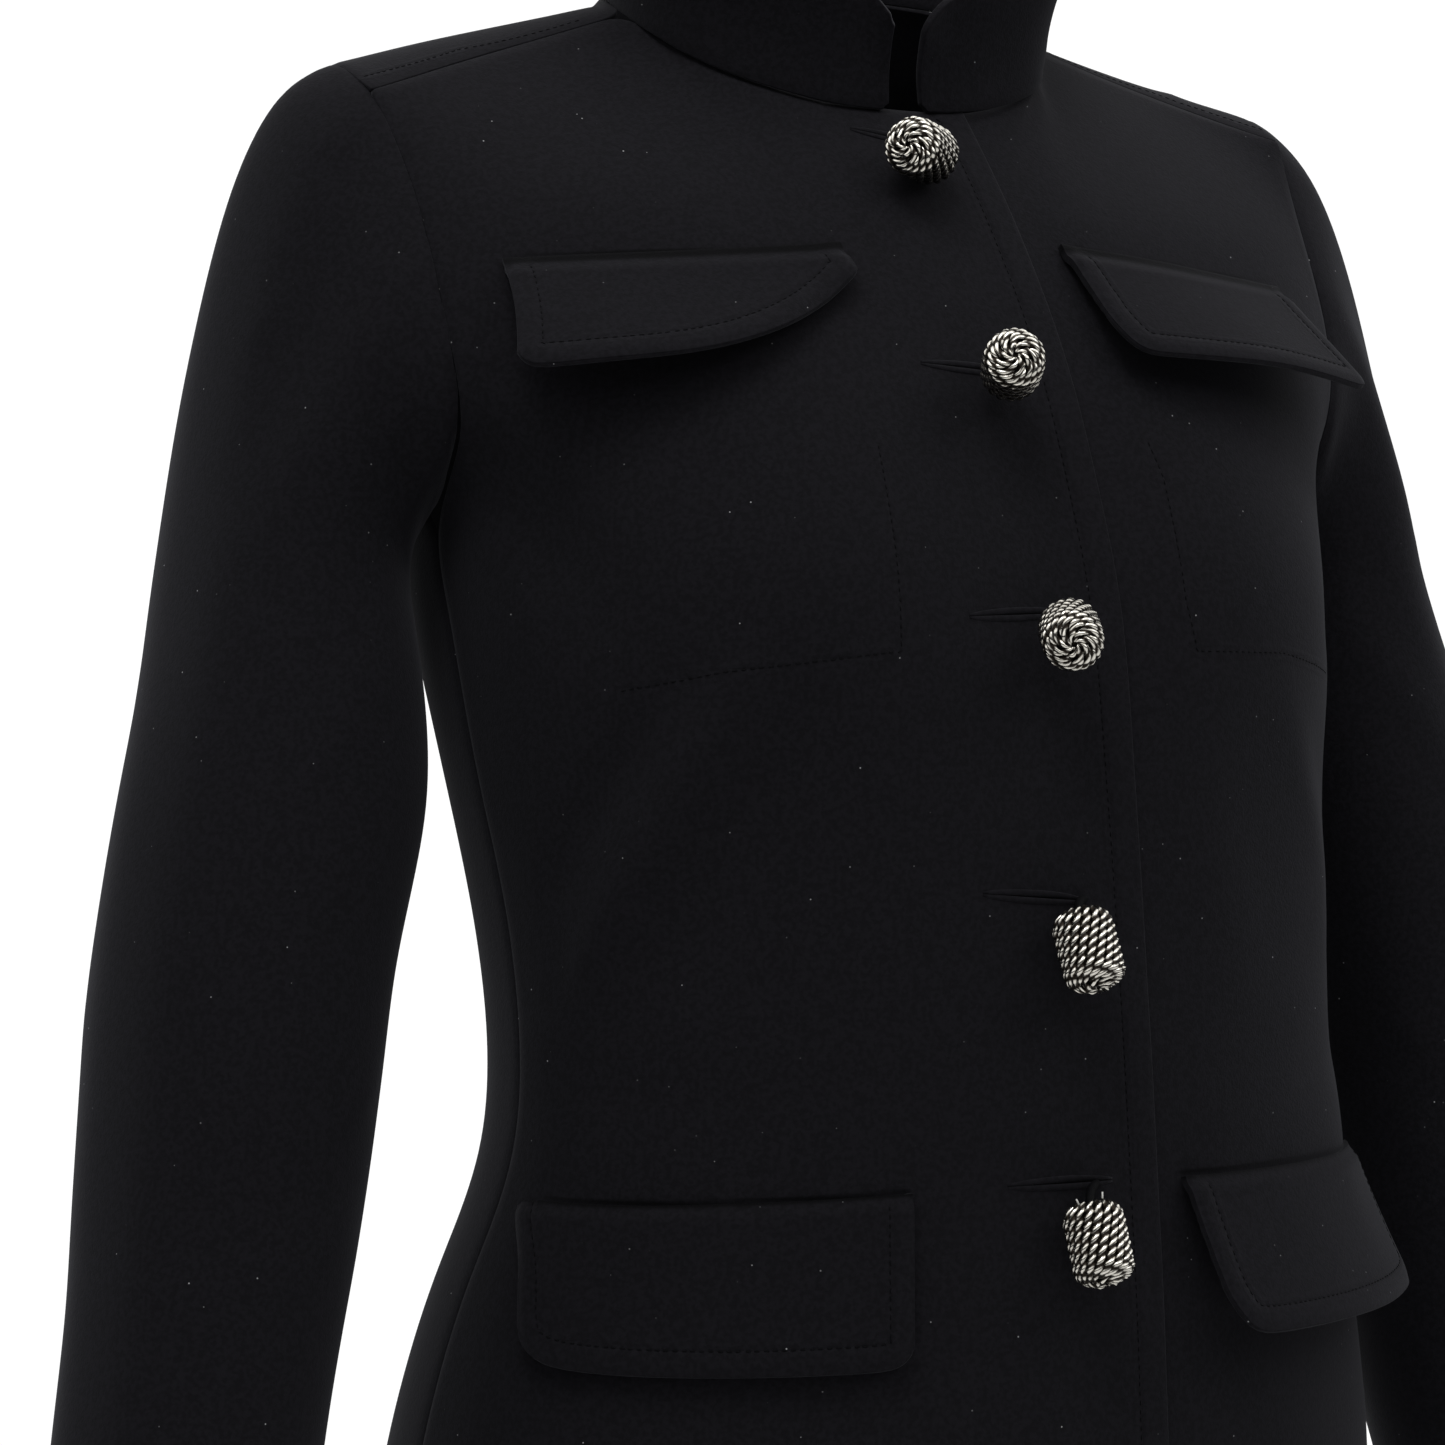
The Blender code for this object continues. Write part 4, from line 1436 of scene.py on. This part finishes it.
@dataclass
class RopeButton:
    """A metal button: twisted strands wind up a barrel and swirl over its dome."""

    node: str
    aim: tuple[float, float, float]
    foot: tuple[float, float]
    lean: tuple[float, float, float]
    shift: tuple[float, float, float] = (0.0, 0.0, 0.0)
    radius: float = 9.5 * MM
    strand: float = 1.62 * MM
    length: float = 29.0 * MM
    dome: float = 8.0 * MM
    pairs: int = 9
    wind: float = 0.80
    swirl: float = 1.05
    lobe: float = 3.5 * MM
    phase: float = 5.0 * math.pi / 18.0
    steps: int = 84
    around: int = 12
    shank: float = 1.5 * MM
    shank_bend: float = 5.5 * MM
    shank_sink: float = 1.0 * MM
    shank_turns: tuple[float, float] = (0.92, 1.12)
    shank_steps: int = 12
    shank_sides: int = 12
    crown_arc: float = 1.25
    crown_turn: float = math.radians(84.0)
    odd_end: float = 0.30
    neck: float = 4.5 * MM
    neck_draw: float = 0.30
    lift: float = 0.8 * MM
    dome_inset: float = 0.9
    barrel: tuple[float, float] = (20.0 * MM, 9.0 * MM)
    neck_slope: float = 0.9
    dome_slope: float = 1.1
    steepest: float = 1.45
    crowding: tuple[float, float] = (0.42, 0.16)
    snugness: float = 1.04
    thinnest: float = 0.55 * MM
    dive_reach: float = 1.2
    dive_length: float = 2.5 * MM
    dive_depth: float = 0.9
    dive_thinning: float = 0.5
    station_reach: float = 0.4
    core_inset: float = 0.35
    core_top_inset: float = 1.6
    core_foot: tuple[tuple[float, float], ...] = (
        (0.0, 0.6 * MM), (0.62, 0.6 * MM), (0.88, 2.6 * MM), (1.0, 5.0 * MM),
    )
    core_rings: int = 5
    core_sides: int = 32
    ply_core: float = 0.50
    ply_lobe: float = 0.52
    # Painted shade: how dark each strand is painted on its side towards the core and in the grooves between
    # its plies.
    painted_shade_below: tuple[float, float] = (1.25, 1.2)
    painted_shade_between: tuple[float, float] = (1.05, 1.05)

    def build(self, frame: dict, finishes: Finishes, front: BVHTree) -> None:
        """Builds the button in its node's place, with the shank that holds it to the front.

        Args:
            frame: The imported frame.
            finishes: The jacket's materials.
            front: The right front's search tree.
        """
        top, aim = self._place(frame["nodes"][self.node])
        shape = bmesh.new()
        # The hollow layer carries painted shade for the metal's colour.
        hollow = shape.verts.layers.float.new("hollow")
        arc = self.crown_arc * self.radius
        whole = self.length - self.dome + arc
        self._add_core(shape, hollow)
        for k in range(2 * self.pairs):
            self._add_strand(shape, whole - (k % 2) * self.odd_end * arc, k)
        place = Matrix.Translation(top) @ aim.to_track_quat("Z", "Y").to_matrix().to_4x4()
        bmesh.ops.transform(shape, matrix=place, verts=shape.verts[:])
        piece = new_piece(self.node + "_metal", shape, finishes.metal)
        hand_over(piece)
        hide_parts(self.node)
        self._add_shank(top - aim * self.length, aim, front, finishes)

    def _place(self, node: bpy.types.Object) -> tuple[Vector, Vector]:
        """Where the button stands, worked out from the CAD node.

        Args:
            node: The CAD node.

        Returns:
            The middle of the dome's top and the way that it points.
        """
        aim = Vector(self.aim).normalized()
        reach = [vertex.co.dot(aim) for vertex in node.data.vertices]
        high = max(reach)
        low, top = high - self.barrel[0], high - self.barrel[1]
        barrel = [v.co for v, at in zip(node.data.vertices, reach) if low < at < top]
        middle = sum(barrel, Vector()) / len(barrel)
        middle += aim * (high - self.length / 2.0 - middle.dot(aim)) + Vector(self.shift)
        lean = Vector(self.lean).normalized()
        return middle + lean * self.length / 2.0, lean

    def _strand_point(self, at: float, end: float) -> tuple[Vector, Vector, float]:
        """A strand's middle, the way out from the button there, and its thickness.

        Args:
            at: The distance along the strand from the button's back end.
            end: Where the strand ends.

        Returns:
            The middle, with the dome's top at the origin, the way out and the thickness.
        """
        straight = self.length - self.dome
        back = max(0.0, 1.0 - at / self.neck)
        angle = self.wind * at / straight
        if at <= straight:
            height = at - self.length + self.lift * (1.0 - back)
            radius = self.radius * (1.0 - self.neck_draw * back * back)
            slope = -self.neck_slope * back
        else:
            share = (at - straight) / (self.crown_arc * self.radius)
            turn = share * self.crown_turn
            rise = self.dome - self.lift - self.dome_inset * self.strand
            height = -self.dome + self.lift + rise * math.sin(turn)
            radius = self.radius * math.cos(turn)
            angle += self.swirl * share * share
            slope = self.dome_slope * math.tan(min(turn, self.steepest))
        room = min(1.0, max(0.0, (radius / self.radius - self.crowding[0]) / self.crowding[1]))
        crowd = self.pairs * (1.0 + room)
        thick = min(self.strand, max(math.pi * radius / crowd * self.snugness, self.thinnest))
        dive = 0.0
        if end < straight + self.dive_reach * self.radius:
            dive = max(0.0, 1.0 - (end - at) / self.dive_length)
        out = Vector((math.cos(angle), math.sin(angle), slope)).normalized()
        middle = Vector((radius * math.cos(angle), radius * math.sin(angle), height))
        thick *= 1.0 - self.dive_thinning * dive
        return middle - out * dive * self.dive_depth * self.strand, out, thick

    def _add_strand(self, shape: bmesh.types.BMesh, end: float, number: int) -> None:
        """Adds one strand of two plies, with its own turn of twist.

        Args:
            shape: The button's mesh.
            end: The strand's length.
            number: Its number round the button.
        """
        strand = bmesh.new()
        hollow = strand.verts.layers.float.new("hollow")
        count = round(self.steps * end / (self.length + self.station_reach * self.radius))
        turn = Matrix.Rotation(math.pi * number / self.pairs, 3, "Z")
        stations = [self._strand_point(end * k / count, end) for k in range(count + 1)]
        rings, hollows = [], []
        for k, (middle, out, thick) in enumerate(stations):
            way = (stations[min(k + 1, count)][0] - stations[max(k - 1, 0)][0]).normalized()
            out = (out - way * out.dot(way)).normalized()
            side = way.cross(out)
            twist = math.pi * end * k / count / self.lobe + self.phase * number
            ring, painted_shade = [], []
            for n in range(self.around):
                angle = 2.0 * math.pi * n / self.around
                ply = abs(math.cos(angle - twist))
                reach = thick * (self.ply_core + self.ply_lobe * ply)
                ring.append(turn @ (middle + (out * math.cos(angle) + side * math.sin(angle)) * reach))
                # Painted shade: darker on the side towards the core and between the plies.
                below = self.painted_shade_below[0] * (0.5 - 0.5 * math.cos(angle)) ** self.painted_shade_below[1]
                between = self.painted_shade_between[0] * (1.0 - ply) ** self.painted_shade_between[1]
                painted_shade.append(min(1.0, below + between))
            rings.append(ring)
            hollows.append(painted_shade)
        for verts, painted_shade in zip(sweep(strand, rings), hollows):
            for vert, value in zip(verts, painted_shade):
                vert[hollow] = value
        made = bpy.data.meshes.new("strand")
        strand.to_mesh(made)
        strand.free()
        shape.from_mesh(made)
        bpy.data.meshes.remove(made)

    def _add_core(self, shape: bmesh.types.BMesh, hollow: bmesh.types.BMLayerItem) -> None:
        """Adds the core that closes the gaps between the strands, painted fully dark as shade.

        Args:
            shape: The button's mesh.
            hollow: The layer that holds each point's painted shade, from 0 to 1.
        """
        inner = self.radius - self.core_inset * self.strand
        profile = [(share * inner, height - self.length) for share, height in self.core_foot]
        profile.append((inner, -self.dome))
        rise = self.dome - self.core_top_inset * self.strand
        for k in range(1, self.core_rings + 1):
            turn = math.radians(90.0 * k / self.core_rings)
            profile.append((inner * math.cos(turn), rise * math.sin(turn) - self.dome))
        profile[-1] = (0.0, profile[-1][1])
        verts = [shape.verts.new((x, 0.0, z)) for x, z in profile]
        edges = [shape.edges.new(pair) for pair in zip(verts, verts[1:])]
        bmesh.ops.spin(
            shape, geom=verts + edges, cent=(0.0, 0.0, 0.0), axis=(0.0, 0.0, 1.0),
            angle=2.0 * math.pi, steps=self.core_sides, use_merge=True,
        )
        bmesh.ops.remove_doubles(shape, verts=shape.verts[:], dist=WELD)
        bmesh.ops.recalc_face_normals(shape, faces=shape.faces[:])
        # The whole core is painted as full shade.
        for vert in shape.verts:
            vert[hollow] = 1.0

    def _add_shank(self, back_end: Vector, aim: Vector, front: BVHTree, finishes: Finishes) -> None:
        """Adds the wound thread shank from the cloth to the button's back end.

        Args:
            back_end: The middle of the button's back end.
            aim: The way that the button points.
            front: The right front's search tree.
            finishes: The jacket's materials.
        """
        base = cast_back(front, *self.foot)[0]
        bend = back_end - aim * self.shank_bend
        end = back_end + aim * self.shank_sink
        path, sizes = [], []
        for k in range(self.shank_steps + 1):
            share = k / self.shank_steps
            path.append(base.lerp(bend, share).lerp(bend.lerp(end, share), share))
            sizes.append(self.shank * self.shank_turns[k % 2])
        shape = bmesh.new()
        outs = [Vector((1.0, 0.0, 0.0))] * len(path)
        sweep(shape, tube_rings(path, outs, sizes, sizes, self.shank_sides))
        hand_over(new_piece(self.node + "_shank", shape, finishes.thread))


@dataclass(frozen=True)
class ThreadEnd:
    """A short pale end that sticks up behind a button."""

    name: str
    points: tuple[tuple[float, float, float], ...]
    radius: float = 0.30 * MM
    sides: int = 8

    def build(self, finishes: Finishes) -> None:
        """Adds the thread end.

        Args:
            finishes: The jacket's materials.
        """
        path = [Vector(point) for point in self.points]
        shape = bmesh.new()
        sizes = [self.radius] * len(path)
        outs = [Vector((0.0, -1.0, 0.0))] * len(path)
        sweep(shape, tube_rings(path, outs, sizes, sizes, self.sides))
        hand_over(new_piece(self.name, shape, finishes.pale_thread))


@dataclass(frozen=True)
class Lamp:
    """One soft square light that faces the jacket's middle."""

    name: str
    place: tuple[float, float, float]
    size: float
    power: float
    aimed_at: tuple[float, float, float] = (0.0, 0.0, -0.3)

    def build(self) -> None:
        """Adds the light."""
        lamp = bpy.data.lights.new(self.name, "AREA")
        lamp.size = self.size
        lamp.energy = self.power
        light = link(bpy.data.objects.new(self.name, lamp))
        light.location = self.place
        way = Vector(self.aimed_at) - Vector(self.place)
        light.rotation_euler = way.to_track_quat("-Z", "Y").to_euler()


@dataclass
class Studio:
    """The camera at the photograph's angle, the pale floor and the soft light."""

    azimuth: float = -29.1
    distance: float = 1.8
    aside: float = -0.0383
    height: float = -0.261
    focal_pixels: float = 4767.0
    image: float = 1445.0
    horizon: float = 606.0
    sensor: float = 36.0
    clip: tuple[float, float] = (0.05, 60.0)
    floor: float = -1.42
    floor_radius: float = 4.3
    floor_sides: int = 96
    floor_tone: float = 0.90
    floor_roughness: float = 0.9
    white: float = 1.05
    ambient: tuple[float, float, float, float] = (0.0, 0.9, 0.06, 1.05)
    mirrored: tuple[float, float, float, float] = (0.05, 0.45, 0.03, 1.5)

    def build(self) -> None:
        """Adds the camera, floor, lights and surroundings."""
        self._camera()
        self._floor()
        for lamp in LAMPS:
            lamp.build()
        self._surroundings()
        bpy.context.scene.view_settings.view_transform = "Standard"

    def _surroundings(self) -> None:
        """Adds surroundings that look white and light the jacket only a little, mostly from above."""
        world = bpy.data.worlds.new("studio")
        world.use_nodes = True
        nodes = Nodes(world.node_tree)
        ground = world.node_tree.nodes["Background"]
        ground.inputs["Color"].default_value = (1.0, 1.0, 1.0, 1.0)
        path = nodes.add("ShaderNodeLightPath").outputs
        way = nodes.add("ShaderNodeTexCoord").outputs["Generated"]
        height = nodes.add("ShaderNodeSeparateXYZ", {"Vector": way}).outputs["Z"]
        strength = nodes.ramp(height, *self.ambient)
        seen = nodes.ramp(height, *self.mirrored)
        for ray, value in (("Is Glossy Ray", seen), ("Is Camera Ray", self.white)):
            inputs = {"Factor": path[ray], "A": strength, "B": value}
            strength = nodes.add("ShaderNodeMix", inputs).outputs["Result"]
        nodes.join(strength, ground.inputs["Strength"])
        bpy.context.scene.world = world

    def _camera(self) -> None:
        """Adds the camera, level apart from the small tilt that the frame needs."""
        turn = math.radians(self.azimuth)
        right = Vector((math.cos(turn), math.sin(turn), 0.0))
        ahead = Vector((-math.sin(turn), math.cos(turn), 0.0))
        lens = bpy.data.cameras.new("view")
        lens.sensor_width = self.sensor
        lens.lens = self.focal_pixels / self.image * self.sensor
        lens.clip_start, lens.clip_end = self.clip
        camera = link(bpy.data.objects.new("view", lens))
        camera.location = right * self.aside - ahead * self.distance + Vector((0.0, 0.0, self.height))
        tilt = math.atan((self.image / 2.0 - self.horizon) / self.focal_pixels)
        camera.rotation_euler = (math.pi / 2.0 - tilt, 0.0, turn)
        bpy.context.scene.camera = camera

    def _floor(self) -> None:
        """Adds the plain pale floor."""
        shape = bmesh.new()
        bmesh.ops.create_circle(shape, cap_ends=True, segments=self.floor_sides, radius=self.floor_radius)
        bmesh.ops.translate(shape, verts=shape.verts[:], vec=(0.0, 0.0, self.floor))
        finish = bpy.data.materials.new("pale_floor")
        finish.use_nodes = True
        shader = finish.node_tree.nodes["Principled BSDF"]
        shader.inputs["Base Color"].default_value = (self.floor_tone,) * 3 + (1.0,)
        shader.inputs["Roughness"].default_value = self.floor_roughness
        new_piece("floor", shape, finish)


LAMPS = (
    Lamp("key", (-0.9, -0.9, 2.0), 1.1, 26.0),
    Lamp("fill", (0.9, -1.5, 0.9), 0.9, 5.0),
    Lamp("rim_right", (-1.0, 2.1, 0.5), 1.3, 3.0),
    Lamp("rim_left", (1.1, 2.1, 0.5), 1.3, 4.0),
)
BUTTONHOLES = (
    Buttonhole("buttonhole_1", (-0.0275, -0.0883), (0.0010, -0.0935)),
    Buttonhole("buttonhole_2", (-0.0341, -0.1757), (0.0040, -0.1787)),
    Buttonhole("buttonhole_3", (-0.0341, -0.2645), (0.0050, -0.2634)),
    Buttonhole("buttonhole_4", (-0.0338, -0.3600), (0.0060, -0.3633)),
    Buttonhole("buttonhole_5", (-0.0276, -0.4607), (0.0145, -0.4606)),
)
POCKET_LINES = {
    Side.RIGHT: (
        (-0.0602, -0.1400, -0.2046), (-0.0612, -0.1503, -0.2287), (-0.0622, -0.1585, -0.2562),
        (-0.0628, -0.1603, -0.2764), (-0.0921, -0.1555, -0.2797), (-0.1189, -0.1435, -0.2830),
        (-0.1495, -0.1159, -0.2903),
    ),
    Side.LEFT: (
        (0.0535, -0.1382, -0.2016), (0.0563, -0.1441, -0.2153), (0.0564, -0.1584, -0.2589),
        (0.0599, -0.1602, -0.2769), (0.1034, -0.1509, -0.2779), (0.1450, -0.1200, -0.2860),
    ),
}
BUTTONS = (
    RopeButton(
        "button_1", aim=(-0.70, -0.65, -0.20), foot=(0.003, -0.0970), lean=(-0.78, -0.62, 0.08),
        shift=(-2.4 * MM, 1.4 * MM, 0.2 * MM),
    ),
    RopeButton(
        "button_2", aim=(-0.486, -0.874, 0.0), foot=(0.005, -0.1780), lean=(-0.46, -0.86, 0.20),
        shift=(-1.5 * MM, 0.8 * MM, -0.4 * MM),
    ),
    RopeButton("button_3", aim=(-0.45, -0.82, -0.30), foot=(0.006, -0.2640), lean=(-0.46, -0.83, -0.23)),
    RopeButton("button_4", aim=(-0.05, -0.28, -0.95), foot=(0.007, -0.3630), lean=(-0.03, -0.47, -0.88)),
    RopeButton(
        "button_5", aim=(-0.02, -0.22, -0.97), foot=(0.008, -0.4615), lean=(-0.01, -0.39, -0.92),
        shift=(0.0, 0.0, -1.6 * MM),
    ),
)
THREAD_ENDS = (
    ThreadEnd(
        "thread_end_1",
        ((-0.0078, -0.1870, -0.4700), (-0.0086, -0.1880, -0.4662), (-0.0098, -0.1885, -0.4645)),
    ),
    ThreadEnd(
        "thread_end_2",
        ((-0.0011, -0.1900, -0.4690), (-0.0004, -0.1905, -0.4650), (-0.0007, -0.1908, -0.4622)),
    ),
)
FLAPS = (
    Flap(
        "chest_flap_right", Side.RIGHT, (0.119, 0.056), ((0.0524, -0.1338), (0.1692, -0.1407)),
        creases=(Crease((0.0535, 0.0, -0.137), (0.0550, 0.0, -0.158), 8.5 * MM, 3.2 * MM),),
    ),
    Flap("chest_flap_left", Side.LEFT, (0.119, 0.061), ((0.0416, -0.1302), (0.1507, -0.1408))),
    Flap(
        "hip_flap_right", Side.RIGHT, (0.133, 0.062), ((0.0632, -0.4614), (0.1710, -0.4660)),
        far_pull=7.0 * MM,
    ),
    Flap("hip_flap_left", Side.LEFT, (0.140, 0.062), ((0.0461, -0.4610), (0.1623, -0.4620))),
)
SLEEVE_CREASES = (
    Crease((0.198, -0.058, -0.140), (0.246, -0.044, -0.232), 11 * MM, 2.0 * MM),
    Crease((0.214, -0.050, -0.110), (0.262, -0.030, -0.215), 13 * MM, 1.6 * MM, Curve.TROUGH),
    Crease((0.192, -0.060, -0.190), (0.222, -0.058, -0.262), 12 * MM, 1.6 * MM, Curve.TROUGH),
    Crease((0.200, -0.062, -0.262), (0.250, -0.062, -0.330), 11 * MM, 1.7 * MM),
    Crease((0.212, -0.070, -0.420), (0.268, -0.076, -0.452), 10 * MM, 1.8 * MM),
    Crease((0.225, -0.078, -0.470), (0.278, -0.080, -0.492), 11 * MM, 1.5 * MM),
    Crease((0.262, 0.020, -0.300), (0.285, 0.010, -0.400), 15 * MM, 1.2 * MM),
    Crease((0.280, -0.040, -0.520), (0.300, -0.050, -0.610), 16 * MM, 0.9 * MM, Curve.TROUGH),
)
BACK_CREASES = (
    Crease((0.060, 0.108, -0.120), (0.120, 0.090, -0.170), 16 * MM, 1.2 * MM),
    Crease((-0.150, 0.070, -0.180), (-0.110, 0.092, -0.220), 14 * MM, 1.3 * MM),
    Crease((0.150, 0.070, -0.185), (0.110, 0.092, -0.228), 14 * MM, 1.3 * MM),
    Crease((-0.080, 0.050, -0.400), (0.070, 0.052, -0.412), 13 * MM, 1.3 * MM),
    Crease((-0.110, 0.040, -0.435), (0.020, 0.045, -0.448), 12 * MM, 1.1 * MM, Curve.TROUGH),
    Crease((0.095, 0.055, -0.480), (0.110, 0.080, -0.620), 24 * MM, 1.5 * MM),
    Crease((-0.095, 0.055, -0.480), (-0.112, 0.080, -0.620), 24 * MM, 1.5 * MM),
)
SHOULDER_SEAM = ((0.1953, -0.0098, -0.0731), (0.1512, 0.0029, -0.0601), (0.1000, 0.0040, -0.0480))
SHOULDER_STITCHES = tuple(tuple((sign * x, y, z) for x, y, z in SHOULDER_SEAM) for sign in (-1, 1))


def build_body(frame: dict, finishes: Finishes) -> BVHTree:
    """Builds the fronts, sleeves, back and collar.

    Args:
        frame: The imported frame.
        finishes: The jacket's materials.

    Returns:
        The right front's search tree.
    """
    surfaces = {}
    for side in Side:
        surfaces[side] = FrontPanel(side).build(frame, finishes).surface()
        arm = (Vector((side.value * 0.200, 0.0, -0.10)), Vector((side.value * 0.296, -0.061, -0.625)))
        PlainCloth(
            "sleeve_" + side.name.lower(), arm, wall=1.8 * MM, levels=3, flat=(0.40, 0.60),
            creases=SLEEVE_CREASES, mirror=side.value, reach=0.9 * MM,
        ).build(frame, finishes)
    PlainCloth(
        "back", TRUNK, wall=1.8 * MM, levels=2, flat=(0.62, 0.68),
        creases=BACK_CREASES, reach=0.6 * MM, seam_lines=SHOULDER_STITCHES,
    ).build(frame, finishes)
    PlainCloth(
        "collar", TRUNK, wall=2.8 * MM, levels=3, flat=(0.50, 0.045), reach=1.5 * MM, sink=0.2 * MM,
        uneven=0.2 * MM, right_slide=(-4.1 * MM, -6.0 * MM), left_slide=(1.6 * MM, -4.0 * MM),
    ).build(frame, finishes)
    return surfaces[Side.RIGHT]


def main() -> None:
    """Builds every piece of the jacket in order."""
    logging.basicConfig(level=logging.INFO, format="%(message)s")
    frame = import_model()
    Studio().build()
    finishes = Finishes()
    front = build_body(frame, finishes)
    for flap in FLAPS:
        flap.build(frame, finishes)
    for button in BUTTONS:
        button.build(frame, finishes, front)
    for end in THREAD_ENDS:
        end.build(finishes)


if __name__ == "__main__":
    main()
